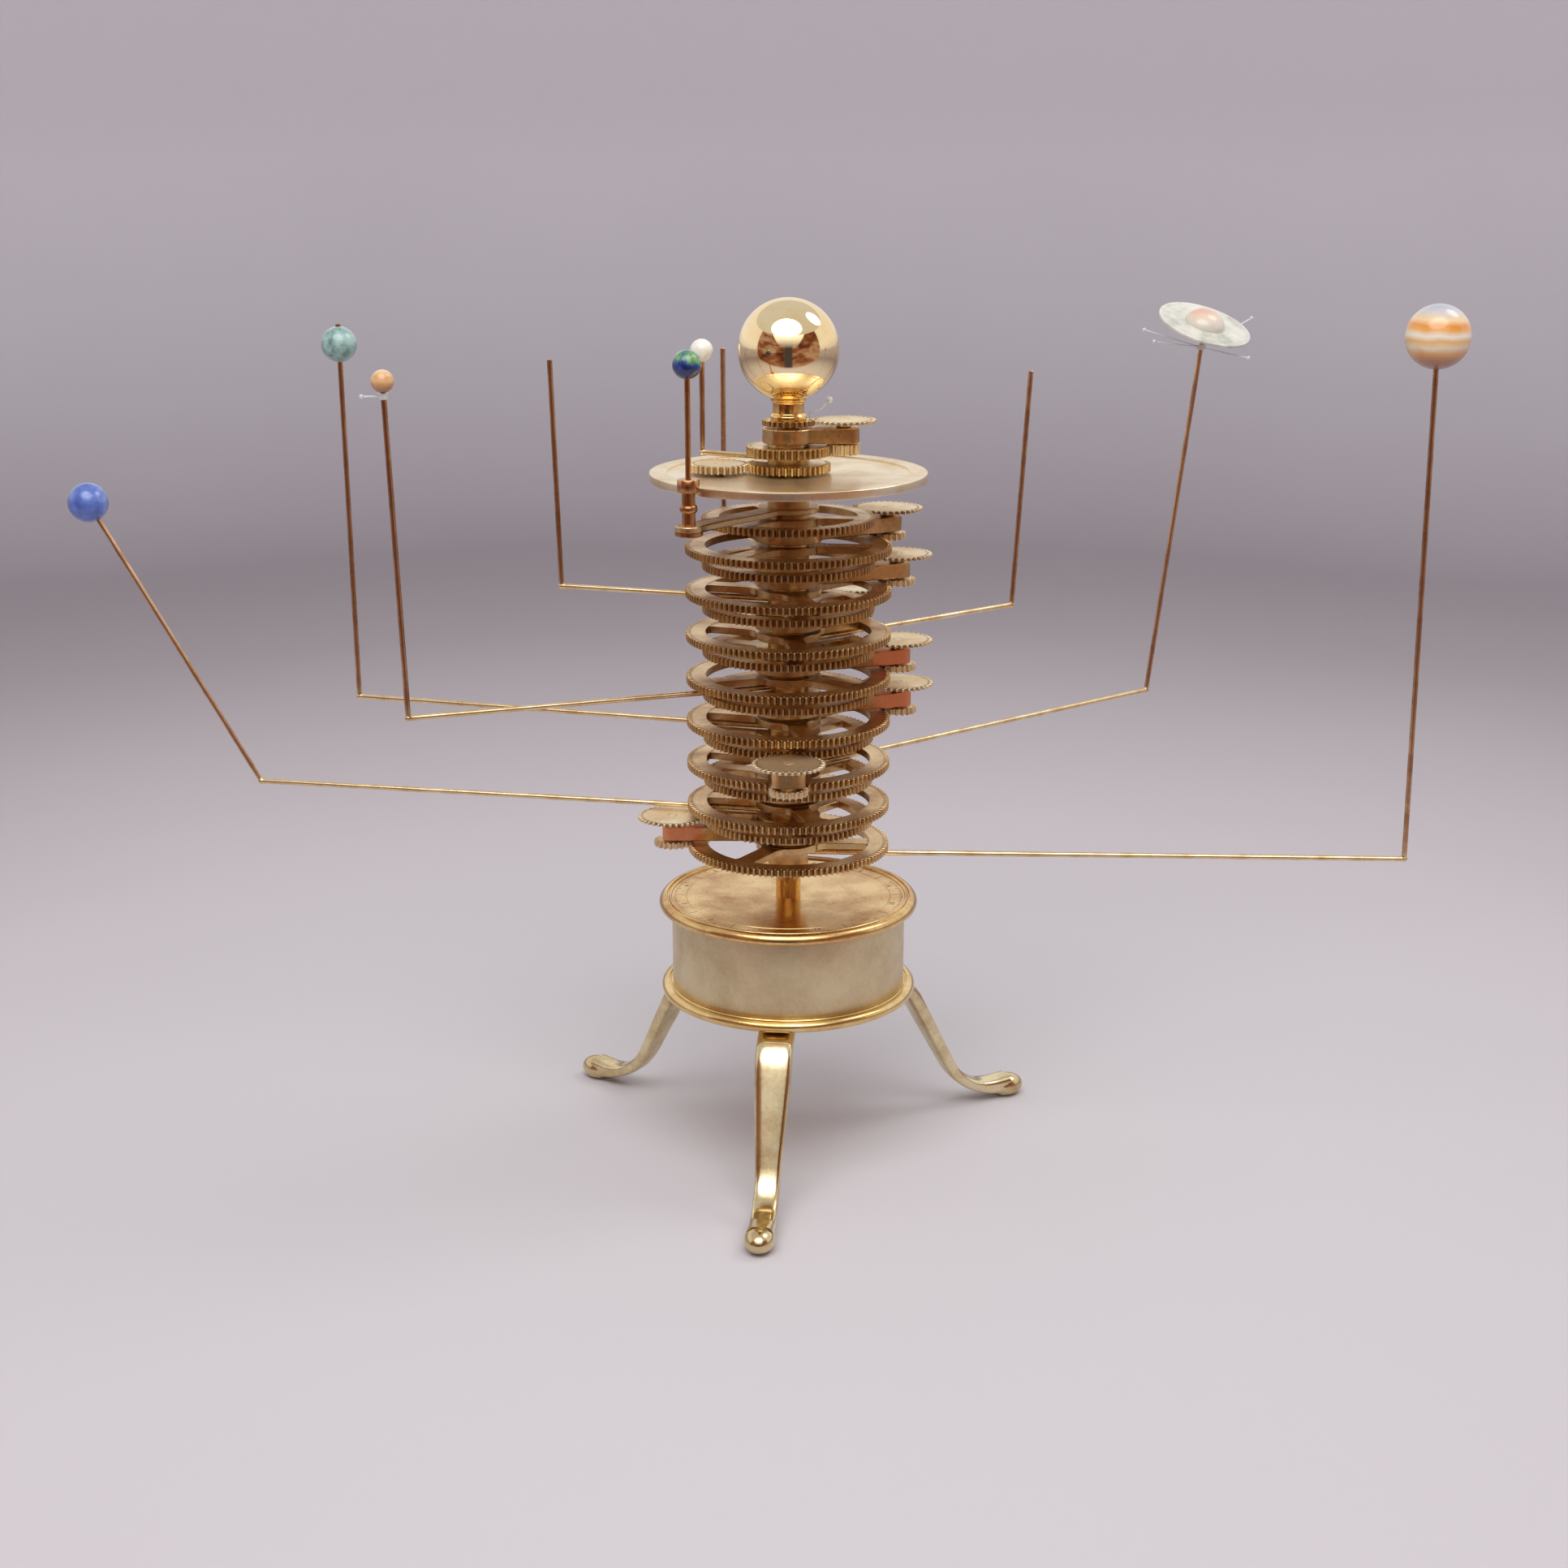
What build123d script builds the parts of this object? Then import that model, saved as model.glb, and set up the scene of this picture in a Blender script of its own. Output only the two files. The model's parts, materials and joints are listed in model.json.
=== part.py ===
from build123d import *

import os
from math import acos, cos, pi, radians, sin, tan

# Orrery: a tabletop model of the planets, driven by one shaft inside a fixed column.
# Millimetres. The column stands on Z while the pieces are built; at the end everything moves so that
# the origin is the middle of the whole outline, on the floor.

# Fits and clearances
seat_gap = 0.02  # radial, pieces of one body pushed together
running_gap = 0.05  # radial, a turning piece on its shaft or in its bore
end_play = 0.2  # between a turning hub and what it turns against
pass_gap = 0.5  # between a moving rod and the gears that it passes

# Stand: legs
leg_azimuths = {"front": 264.0, "left": 144.0, "right": 24.0}
leg_clear_height = 69.5  # floor to the underside of the base plate
leg_thick = 6.5
leg_top_width = 12.7
leg_waist_width = 10.0
leg_toe_width = 10.8
leg_tab_start = 31.0
leg_bend_start = 42.0
leg_bend_radius = 20.0
leg_sweep_radius = 28.0
leg_slope = 62.0
leg_toe_centre_height = 6.0
leg_edge_round = 1.6
leg_toe_run = 6.1  # the straight end of the leg, from the sweep to the toe
toe_radius = 6.4
toe_pad_radius = 3.0
leg_screw_reach = 37.0
leg_screw_radius = 1.6
leg_screw_head_radius = 3.2
leg_screw_head_height = 2.2
leg_screw_grip = 3.2
leg_screw_slot_width = 0.8

# Stand: base, drum and dial
base_radius = 54.25
base_thick = 4.5
drum_radius = 49.5
drum_wall_thick = 1.5
drum_height = 33.9
register_height = 2.0
register_width = 6.0
dial_radius = 54.85
dial_lip_height = 4.3
dial_face_drop = 0.8
dial_ring_radius = 50.2
dial_ring_width = 1.4
dial_groove_radii = (43.6, 48.6)
dial_groove_width = 0.4
dial_groove_depth = 0.25
bearing_radius = 8.0
bearing_height = 10.0
bearing_floor = 2.0

# Column and drive shaft
column_radius = 5.3
shaft_radius = 3.1
column_foot_radius = 12.0
column_foot_thick = 3.0
thrust_collar_radius = 8.0
thrust_collar_height = 4.0
thrust_collar_chamfer = 1.3
first_wheel_rise = 23.0  # dial face to the middle of the lowest ring wheel

# Gear teeth
tooth_module = 0.8
pressure_angle = 20.0
backlash = 0.18
addendum = 0.9  # in modules
dedendum = 1.25  # in modules

# Tooth counts of the train, from the motor outwards
motor_pinion_teeth = 15
drive_wheel_teeth = 50
mercury_teeth = 25
top_disc_teeth = 31
top_pinion_teeth = 15
venus_teeth = 41
plate_disc_teeth = 29
plate_pinion_teeth = 21
earth_upper_teeth = 49
lower_teeth = 87
disc_teeth = 35
pinion_teeth = 18
ring_teeth = 104

# Ring wheels, one above another
level_count = 8
wheel_thick = 3.0
ring_band = 6.4
lower_band = 5.5
wheel_centre_radius = 13.5
spoke_width = 8.0
spoke_count = 3
hub_radius = 8.5
hub_above = 2.8
hub_below = 8.9

# Fixed bars and the idlers that they carry
bar_thick = 6.0
bar_width = 12.8
bar_overhang = 3.6
bar_corner = 1.2
bar_boss_radius = 14.0
top_bar_boss_radius = 10.6
top_bar_overhang = 6.0
arbor_radius = 2.0
arbor_shoulder_radius = 3.2
disc_thick = 2.0
pinion_extra = 0.5
idler_azimuths = (180.0, 100.0, 270.0, 18.0, 20.0, 54.0, 22.0, 32.0)
top_idler_azimuth = 5.0
plate_idler_azimuth = 180.0

# Arms: bent rods, from the lowest wheel up. Heights of balls and rod ends are above the Sun's middle.
rod_radius = 1.1
rod_drop = 3.6  # middle of the ring wheel to the rod's axis
rod_over_lower = 0.3
elbow_radius = 1.35
rod_socket = 2.2
arm_azimuths = (357.7, 169.0, 39.1, 164.1, 200.1, 37.8, 163.3, 112.4)
arm_reaches = (258.8, 236.5, 220.4, 196.0, 159.1, 125.9, 100.1, 73.6)
rod_top_reaches = (256.2, 308.0, 249.5, 197.0, 163.0, 133.7, 102.8, 73.6)
rod_top_rises = (6.0, -71.0, -4.0, -3.0, -6.4, -17.1, -6.9, -6.0)

# Balls
banded_ball_radius = 12.8
blue_ball_radius = 8.6
pale_ball_radius = 7.5
tan_ball_radius = 4.4
white_ball_radius = 4.7
earth_ball_radius = 5.65
ringed_ball_radius = 9.5
ringed_ball_half_height = 7.0
socket_share = 0.6  # a socket's depth, as a share of its ball's radius
ring_disc_radius = 22.0
ring_disc_thick = 1.2
ring_disc_pitch = 18.6  # tipped towards the front
ring_disc_roll = 14.0  # tipped down to the right
ring_lip_width = 2.0
ring_groove_depth = 0.4
bead_radius = 0.95
wire_radius = 0.35
moon_collar_radius = 2.0
moon_collar_height = 2.4
moon_collar_drop = 11.5
moon_reaches = (26.8, 23.2, 22.6, 37.3)
moon_azimuths = (180.0, 192.5, 333.8, 42.0)
moon_rises = (8.0, 3.1, -4.0, 11.2)
tan_moon_reach = 8.2
tan_moon_azimuth = 190.0
pale_tip_height = 1.0

# Earth wheel, arm and spindle
earth_hub_length = 18.5
earth_arm_lift = 1.8
earth_arm_thick = 2.4
earth_arm_width = 9.0
earth_arm_boss_radius = 12.5
earth_arm_end_radius = 5.5
earth_azimuth = 231.1
earth_ball_rise = -1.0
plate_clearance = 0.75
spindle_neck_radius = 1.6
spindle_nut_radius = 5.5
spindle_nut_thick = 1.6
spindle_tube_radius = 2.6
spindle_bead_radius = 3.5
spindle_bead_height = 3.0
spindle_tube_height = 5.0
spindle_collar_radius = 4.35
spindle_collar_height = 5.0

# Top plate and what stands on it
plate_radius = 56.4
plate_thick = 2.6
plate_rim_height = 0.8
plate_rim_width = 7.1
plate_gear_thick = 3.3
plate_disc_thick = 3.0
gear_over_plate = 1.0
venus_lower_thick = 3.2
venus_upper_thick = 3.8
venus_hub_head = 1.0
venus_arm_azimuth = 152.0
venus_arm_clearance = 3.4
white_ball_rise = -2.2

# Top of the shaft
mercury_gear_thick = 2.2
mercury_gear_lift = 1.0
mercury_boss_radius = 4.5
neck_radius = 7.35
neck_height = 7.3  # the toothed collar to the Sun's lowest point
sun_radius = 20.5
sun_socket = 9.0
sun_bead_radius = 1.4
sun_bead_reach = 16.4
sun_bead_rise = -20.0
sun_wire_reach = 8.6
sun_wire_corner_rise = 2.8
sun_wire_knee_reach = 13.0
sun_wire_knee_rise = 4.2

# Motor in the drum
motor_azimuth = 150.0
motor_radius = 14.0
motor_height = 16.0
motor_shaft_radius = 1.5
motor_shaft_depth = 6.0
drive_wheel_thick = 3.0
drive_wheel_lift = 2.4

# Heights and radii worked out from the sizes above
drum_z = leg_clear_height + base_thick
dial_z = drum_z + drum_height
dial_face_z = dial_z + dial_lip_height - dial_face_drop
bar_rise = hub_above + end_play
level_pitch = hub_above + hub_below + bar_thick + 2 * end_play
lower_bottom = -(rod_drop + rod_radius + rod_over_lower + wheel_thick)
disc_rise = level_pitch + lower_bottom + (wheel_thick - disc_thick) / 2
rod_hole = rod_radius + seat_gap
wheel_bore = hub_radius + seat_gap
arbor_seat = arbor_radius + seat_gap
column_seat = column_radius + seat_gap
shaft_seat = shaft_radius + seat_gap


def level_z(level):
    """The height of a ring wheel's middle. The lowest is level 1. The Earth wheel follows the last."""
    return dial_face_z + first_wheel_rise + (level - 1) * level_pitch


earth_z = level_z(level_count + 1)
earth_gear_z = earth_z + lower_bottom
earth_arm_z = earth_gear_z + wheel_thick + earth_arm_lift
plate_z = earth_z - hub_below + earth_hub_length + end_play
plate_floor_z = plate_z + plate_thick
plate_pinion_z = plate_z - end_play - pinion_extra - plate_gear_thick
venus_z = plate_floor_z + gear_over_plate
venus_rod_z = venus_z + venus_lower_thick + pass_gap + rod_radius
venus_upper_z = venus_rod_z + rod_radius + pass_gap
top_bar_z = venus_upper_z + venus_upper_thick + venus_hub_head + end_play
column_top_z = top_bar_z + bar_thick
mercury_z = column_top_z + mercury_gear_lift
neck_z = mercury_z + mercury_gear_thick
sun_z = neck_z + neck_height + sun_radius
earth_ball_z = sun_z + earth_ball_rise
white_ball_z = sun_z + white_ball_rise
drive_wheel_z = drum_z + motor_height + drive_wheel_lift

# Distances between the centres of gears in mesh, and what has to clear them
idler_reach = tooth_module * (ring_teeth + pinion_teeth) / 2
top_idler_reach = tooth_module * (mercury_teeth + top_disc_teeth) / 2
plate_idler_reach = tooth_module * (venus_teeth + plate_disc_teeth) / 2
motor_reach = tooth_module * (drive_wheel_teeth + motor_pinion_teeth) / 2
earth_reach = plate_radius + plate_clearance + spindle_collar_radius
top_disc_tip = tooth_module * (top_disc_teeth / 2 + addendum)
venus_reach = top_idler_reach + top_disc_tip + rod_radius + venus_arm_clearance


def at(reach, azimuth, z):
    """A place at a distance from the column, on a bearing from +X towards +Y."""
    return Vector(reach * cos(radians(azimuth)), reach * sin(radians(azimuth)), z)


def moved(shape, place):
    """A shape moved from the origin to a place."""
    return Pos(place.X, place.Y, place.Z) * shape


def rod(start, end, radius):
    """A straight round rod between two points."""
    along = end - start
    base = (Align.CENTER, Align.CENTER, Align.MIN)
    return Plane(origin=start, z_dir=along) * Cylinder(radius, along.length, align=base)


def post(radius, bottom, top, bore=0.0):
    """A round post on Z, or a tube where it has a bore."""
    outline = Circle(radius)
    if bore:
        outline -= Circle(bore)
    return Pos(0, 0, bottom) * extrude(outline, top - bottom)


def half_tooth(teeth, radius):
    """Half of an involute tooth's thickness at a radius, as an angle in radians."""
    pitch_radius = tooth_module * teeth / 2
    involute_base = pitch_radius * cos(radians(pressure_angle))
    at_pitch = (pi * tooth_module - backlash) / (4 * pitch_radius)
    start = radians(pressure_angle)
    here = acos(min(1.0, involute_base / radius))
    return at_pitch + (tan(start) - start) - (tan(here) - here)


def gear_outline(teeth, phase):
    """A spur gear's outline. Each flank runs straight from its root to the involute's end at the tip."""
    pitch_radius = tooth_module * teeth / 2
    root = pitch_radius - dedendum * tooth_module
    tip = pitch_radius + addendum * tooth_module
    at_root = half_tooth(teeth, max(root, pitch_radius * cos(radians(pressure_angle))))
    at_tip = half_tooth(teeth, tip)
    points = []
    for tooth in range(teeth):
        middle = radians(phase) + 2 * pi * tooth / teeth
        for radius, side in ((root, -at_root), (tip, -at_tip), (tip, at_tip), (root, at_root)):
            points.append((radius * cos(middle + side), radius * sin(middle + side)))
    return make_face(Polyline(*points, close=True))


def gear(teeth, phase, bore, bottom, thick):
    """A plain toothed disc with a round bore."""
    return Pos(0, 0, bottom) * extrude(gear_outline(teeth, phase) - Circle(bore), thick)


def meshed_phase(teeth, lead_teeth, lead_phase, direction):
    """The phase that puts a gear in mesh with a leading gear, in a direction seen from the leader."""
    return direction + 180 + (lead_teeth * (direction - lead_phase) - 180) / teeth


def spoked_gear(teeth, phase, band, bottom):
    """A toothed band, spokes and a centre disc that is pushed on the hub."""
    band_inner = tooth_module * (teeth / 2 - dedendum) - band
    windows = Circle(band_inner) - Circle(wheel_centre_radius)
    for spoke in range(spoke_count):
        turn = phase + spoke * 360 / spoke_count
        windows -= Rot(0, 0, turn) * Pos(band_inner / 2, 0) * Rectangle(band_inner, spoke_width)
    outline = gear_outline(teeth, phase) - windows - Circle(wheel_bore)
    return Pos(0, 0, bottom) * extrude(outline, wheel_thick)


def hub(bottom, top, azimuth, rod_z):
    """A sleeve that turns on the column, drilled for its rod."""
    sleeve = post(hub_radius, bottom, top, column_radius + running_gap)
    hole_start = at(hub_radius - rod_socket - seat_gap, azimuth, rod_z)
    return sleeve - rod(hole_start, at(hub_radius + 1, azimuth, rod_z), rod_hole)


def ring_wheel(level):
    """A ring wheel, its hub and, where it drives the wheel below, the lower gear."""
    z = level_z(level)
    azimuth = arm_azimuths[level - 1]
    pieces = [
        spoked_gear(ring_teeth, azimuth, ring_band, z - wheel_thick / 2),
        hub(z - hub_below, z + hub_above, azimuth, z - rod_drop),
    ]
    if level > 1:
        pieces.append(spoked_gear(lower_teeth, azimuth, lower_band, z + lower_bottom))
    return pieces


# Arms and balls


def arm_points(level):
    """Where a rod leaves its hub, where it bends, and its end or the middle of its ball."""
    n = level - 1
    z = level_z(level) - rod_drop
    return (
        at(hub_radius - rod_socket, arm_azimuths[n], z),
        at(arm_reaches[n], arm_azimuths[n], z),
        at(rod_top_reaches[n], arm_azimuths[n], sun_z + rod_top_rises[n]),
    )


def bent_rod(start, elbow, end):
    """A rod in two straight runs, with a bead of solder where they meet."""
    return rod(start, elbow, rod_radius) + rod(elbow, end, rod_radius) + moved(Sphere(elbow_radius), elbow)


def beyond(elbow, middle, distance):
    """A point on a rod's upper run, at a distance past the middle of its ball, or short of it."""
    return middle + (middle - elbow).normalized() * distance


def socket_end(radius):
    """How far short of its ball's middle a rod's socket ends, as a distance past the middle."""
    return -radius * (1 - socket_share)


def drilled_ball(elbow, middle, radius):
    """A ball with a blind hole for its rod."""
    solid = Sphere(radius) - post(rod_hole, -radius - 1, socket_end(radius))
    return Plane(origin=middle, z_dir=middle - elbow) * solid


def ball_arm(level, radius):
    """A bent rod that ends in a ball's socket."""
    start, elbow, middle = arm_points(level)
    return bent_rod(start, elbow, beyond(elbow, middle, socket_end(radius) - seat_gap))


def pale_ball():
    """The pale ball is drilled right through."""
    _, elbow, middle = arm_points(4)
    solid = Sphere(pale_ball_radius) - post(rod_hole, -pale_ball_radius - 1, pale_ball_radius + 1)
    return Plane(origin=middle, z_dir=middle - elbow) * solid


def pale_arm():
    """The pale ball's rod shows a little above it."""
    start, elbow, middle = arm_points(4)
    return bent_rod(start, elbow, beyond(elbow, middle, pale_ball_radius + pale_tip_height))


def ringed_frame():
    """The ringed ball's own plane: tipped to the front, then down to the right."""
    middle = arm_points(3)[2]
    return Pos(middle.X, middle.Y, middle.Z) * Rot(0, ring_disc_roll, 0) * Rot(ring_disc_pitch, 0, 0)


def ringed_ball():
    """A ball flattened along its axis, and drilled for its rod."""
    flattened = scale(Sphere(ringed_ball_radius), by=(1, 1, ringed_ball_half_height / ringed_ball_radius))
    _, elbow, middle = arm_points(3)
    hole = rod(elbow, beyond(elbow, middle, socket_end(ringed_ball_half_height)), rod_hole)
    return ringed_frame() * flattened - hole


def ring_disc():
    """The flat ring round the ringed ball, with a shallow face between two lips."""
    half_thick = ring_disc_thick / 2
    inner = ringed_ball_radius + seat_gap
    disc = post(ring_disc_radius, -half_thick, half_thick, inner)
    face = post(ring_disc_radius - ring_lip_width, half_thick - ring_groove_depth, half_thick,
                inner + ring_lip_width)
    _, elbow, middle = arm_points(3)
    return ringed_frame() * (disc - face) - rod(elbow, middle, rod_hole)


def ringed_ball_moons():
    """A small collar on the rod under the ringed ball, with a fine wire to each bead."""
    _, elbow, middle = arm_points(3)
    foot = beyond(elbow, middle, -moon_collar_drop)
    head = beyond(elbow, middle, moon_collar_height - moon_collar_drop)
    root = (foot + head) * 0.5
    solid = rod(foot, head, moon_collar_radius)
    for reach, azimuth, rise in zip(moon_reaches, moon_azimuths, moon_rises):
        tip = root + at(reach, azimuth, rise)
        solid += rod(root, tip, wire_radius) + moved(Sphere(bead_radius), tip)
    return solid - rod(elbow, middle, rod_hole)


def tan_ball_moon():
    """A bead on a fine wire from a small collar on the tan ball's rod."""
    _, elbow, middle = arm_points(5)
    foot = beyond(elbow, middle, -tan_ball_radius - moon_collar_height)
    head = beyond(elbow, middle, -tan_ball_radius)
    root = (foot + head) * 0.5
    tip = root + at(tan_moon_reach, tan_moon_azimuth, 0)
    solid = rod(foot, head, moon_collar_radius) + rod(root, tip, wire_radius)
    return solid + moved(Sphere(bead_radius), tip) - rod(elbow, middle, rod_hole)


# Stand


def leg_section(place, along, width):
    """The leg's rounded strip across its middle line."""
    across = Plane(origin=place, x_dir=(0, 1, 0), z_dir=along)
    return across * RectangleRounded(width, leg_thick, leg_edge_round)


def leg_line():
    """The points of the leg's middle line: its tab, shoulder, knee, ankle, instep and toe."""
    slope = radians(leg_slope)
    turn = Vector(sin(slope), 0, cos(slope) - 1)
    tab = Vector(leg_tab_start, 0, leg_clear_height - leg_thick / 2)
    shoulder = Vector(leg_bend_start, 0, tab.Z)
    knee = shoulder + turn * leg_bend_radius
    drop = knee.Z - leg_toe_centre_height - leg_sweep_radius * (1 - cos(slope))
    ankle = knee + Vector(drop / tan(slope), 0, -drop)
    instep = ankle + turn * leg_sweep_radius
    return tab, shoulder, knee, ankle, instep, instep + Vector(leg_toe_run, 0, 0)


toe_reach = leg_line()[-1].X


def leg():
    """A cabriole leg: a strip that bends down, sweeps out again and ends in a rounded toe."""
    tab_start, shoulder, knee, ankle, instep, toe_end = leg_line()
    run = (ankle - knee).normalized()
    outwards = Vector(1, 0, 0)
    with BuildLine() as middle:
        Line(tab_start, shoulder)
        TangentArc(shoulder, knee, tangent=outwards)
        Line(knee, ankle)
        TangentArc(ankle, instep, tangent=run)
        Line(instep, toe_end)
    sections = [
        leg_section(tab_start, outwards, leg_top_width),
        leg_section(knee, run, leg_top_width),
        leg_section(ankle, run, leg_waist_width),
        leg_section(toe_end, outwards, leg_toe_width),
    ]
    strip = sweep(sections, path=middle.line, multisection=True)
    toe_z = (toe_radius**2 - toe_pad_radius**2) ** 0.5
    toe = Pos(toe_reach, 0, toe_z) * Sphere(toe_radius)
    toe -= Pos(toe_reach, 0, -toe_radius) * Box(2 * toe_radius, 2 * toe_radius, 2 * toe_radius)
    screw_hole = Pos(leg_screw_reach, 0, 0) * post(leg_screw_radius + running_gap, 0, leg_clear_height + 1)
    return strip + toe - screw_hole


def leg_screw():
    """A cheese-head screw up through the leg's tab, with a slot in its head."""
    head_top = leg_clear_height - leg_thick
    head_bottom = head_top - leg_screw_head_height
    screw = post(leg_screw_head_radius, head_bottom, head_top)
    screw += post(leg_screw_radius, head_top, leg_clear_height + leg_screw_grip)
    slot = Box(2 * leg_screw_head_radius, leg_screw_slot_width, leg_screw_head_height)
    return Pos(leg_screw_reach, 0, 0) * (screw - Pos(0, 0, head_bottom) * slot)


def beaded_disc(radius, bottom, thick):
    """A disc with a full round bead for its edge."""
    bead = thick / 2
    core = post(radius - bead, bottom, bottom + thick)
    ring = revolve(Plane.XZ * (Pos(radius - bead, bottom + bead) * Circle(bead)), Axis.Z)
    return core + ring


def register(bottom):
    """The raised ring that centres the drum's wall."""
    outer = drum_radius - drum_wall_thick - seat_gap
    return post(outer, bottom, bottom + register_height, outer - register_width)


def base_plate():
    """The bottom plate with its bead, the drum's register, the shaft's bearing and the screw holes."""
    plate = beaded_disc(base_radius, leg_clear_height, base_thick)
    plate += register(drum_z)
    plate += post(bearing_radius, drum_z, drum_z + bearing_height)
    plate -= post(shaft_radius + running_gap, drum_z + bearing_floor, drum_z + bearing_height)
    for azimuth in leg_azimuths.values():
        place = at(leg_screw_reach, azimuth, 0)
        hole_top = leg_clear_height + leg_screw_grip + seat_gap
        plate -= moved(post(leg_screw_radius + seat_gap, leg_clear_height, hole_top), place)
    return plate


def dial_plate():
    """The drum's lid: a beaded lip round a sunk dial, with a raised ring and two engraved circles."""
    plate = beaded_disc(dial_radius, dial_z, dial_lip_height)
    half_ring = dial_ring_width / 2
    lip_z = dial_z + dial_lip_height
    plate -= post(dial_ring_radius - half_ring, dial_face_z, lip_z)
    plate -= post(dial_ring_radius + dial_ring_width, dial_face_z, lip_z, dial_ring_radius + half_ring)
    for radius in dial_groove_radii:
        plate -= post(radius, dial_face_z - dial_groove_depth, dial_face_z, radius - dial_groove_width)
    plate += register(dial_z - register_height)
    return plate - post(column_seat, dial_z, lip_z)


def column_tube():
    """The fixed column with its foot flange under the dial, and the thrust collar under the lowest wheel."""
    bore = shaft_radius + running_gap
    foot_z = dial_z - column_foot_thick
    tube = post(column_radius, foot_z, column_top_z, bore)
    tube += post(column_foot_radius, foot_z, dial_z, bore)
    collar_top = level_z(1) - hub_below - end_play
    collar = post(thrust_collar_radius, collar_top - thrust_collar_height, collar_top, column_seat)
    lower_edge = collar.edges().group_by(Axis.Z)[0].sort_by(SortBy.RADIUS)[-1]
    collar = chamfer(lower_edge, thrust_collar_chamfer)
    return [tube, collar]


def bar(bottom, azimuth, reach, overhang, boss_radius):
    """A fixed bar: a boss clamped on the column and an arm that carries an arbor."""
    length = reach + overhang
    arm = Pos(length / 2, 0) * Rectangle(length, bar_width)
    outline = fillet(arm.vertices().group_by(Axis.X)[-1], bar_corner)
    outline += Circle(boss_radius)
    outline -= Circle(column_seat) + Pos(reach, 0) * Circle(arbor_radius + running_gap)
    return Rot(0, 0, azimuth) * Pos(0, 0, bottom) * extrude(outline, bar_thick)


def idler_bars():
    """The eight bars between the ring wheels."""
    return [
        bar(level_z(n + 1) + bar_rise, azimuth, idler_reach, bar_overhang, bar_boss_radius)
        for n, azimuth in enumerate(idler_azimuths)
    ]


def arbor(bottom, top, carrier_bottom, carrier_top, upper_gear_z, lower_gear_top):
    """A spindle in its carrier's bore, with a shoulder between the carrier and each gear."""
    solid = post(arbor_radius, bottom, top)
    solid += post(arbor_shoulder_radius, lower_gear_top, carrier_bottom - end_play)
    return solid + post(arbor_shoulder_radius, carrier_top + end_play, upper_gear_z)


def idler(level):
    """A bar's idler: a disc above the bar, a pinion under it, and the arbor that joins them."""
    z = level_z(level)
    azimuth = idler_azimuths[level - 1]
    pinion_z = z - wheel_thick / 2
    pinion_top = z + wheel_thick / 2 + pinion_extra
    bar_z = z + bar_rise
    disc_z = z + disc_rise
    ring_phase = arm_azimuths[level - 1]
    lower_phase = arm_azimuths[level] if level < level_count else earth_azimuth
    pinion_phase = meshed_phase(pinion_teeth, ring_teeth, ring_phase, azimuth)
    disc_phase = meshed_phase(disc_teeth, lower_teeth, lower_phase, azimuth)
    place = at(idler_reach, azimuth, 0)
    pieces = [
        gear(pinion_teeth, pinion_phase, arbor_seat, pinion_z, pinion_top - pinion_z),
        gear(disc_teeth, disc_phase, arbor_seat, disc_z, disc_thick),
        arbor(pinion_z, disc_z + disc_thick, bar_z, bar_z + bar_thick, disc_z, pinion_top),
    ]
    return [moved(piece, place) for piece in pieces]


# Top of the column


def venus_wheel():
    """Two toothed tiers on one hub: the lower drives the plate's disc, the upper is driven."""
    hub_bottom = plate_floor_z + end_play
    hub_top = top_bar_z - end_play
    return [
        gear(venus_teeth, venus_arm_azimuth, wheel_bore, venus_z, venus_lower_thick),
        gear(venus_teeth, venus_arm_azimuth, wheel_bore, venus_upper_z, venus_upper_thick),
        hub(hub_bottom, hub_top, venus_arm_azimuth, venus_rod_z),
    ]


def venus_points():
    """The white ball's rod: at its hub, its elbow and the middle of its ball."""
    return (
        at(hub_radius - rod_socket, venus_arm_azimuth, venus_rod_z),
        at(venus_reach, venus_arm_azimuth, venus_rod_z),
        at(venus_reach, venus_arm_azimuth, white_ball_z),
    )


def venus_arm():
    """The white ball's rod."""
    start, elbow, middle = venus_points()
    return bent_rod(start, elbow, beyond(elbow, middle, socket_end(white_ball_radius) - seat_gap))


def earth_wheel():
    """The Earth's hub with its upper gear, under the top plate, and its lower gear."""
    hub_bottom = earth_z - hub_below
    return [
        gear(earth_upper_teeth, earth_azimuth, wheel_bore, plate_pinion_z, plate_gear_thick),
        spoked_gear(lower_teeth, earth_azimuth, lower_band, earth_gear_z),
        post(hub_radius, hub_bottom, hub_bottom + earth_hub_length, column_radius + running_gap),
    ]


def earth_arm():
    """A flat arm pushed on the Earth's hub, with a rounded end for the spindle."""
    outline = Circle(earth_arm_boss_radius) + Pos(earth_reach, 0) * Circle(earth_arm_end_radius)
    outline += Pos(earth_reach / 2, 0) * Rectangle(earth_reach, earth_arm_width)
    outline -= Circle(wheel_bore) + Pos(earth_reach, 0) * Circle(spindle_neck_radius + seat_gap)
    return Rot(0, 0, earth_azimuth) * Pos(0, 0, earth_arm_z) * extrude(outline, earth_arm_thick)


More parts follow.
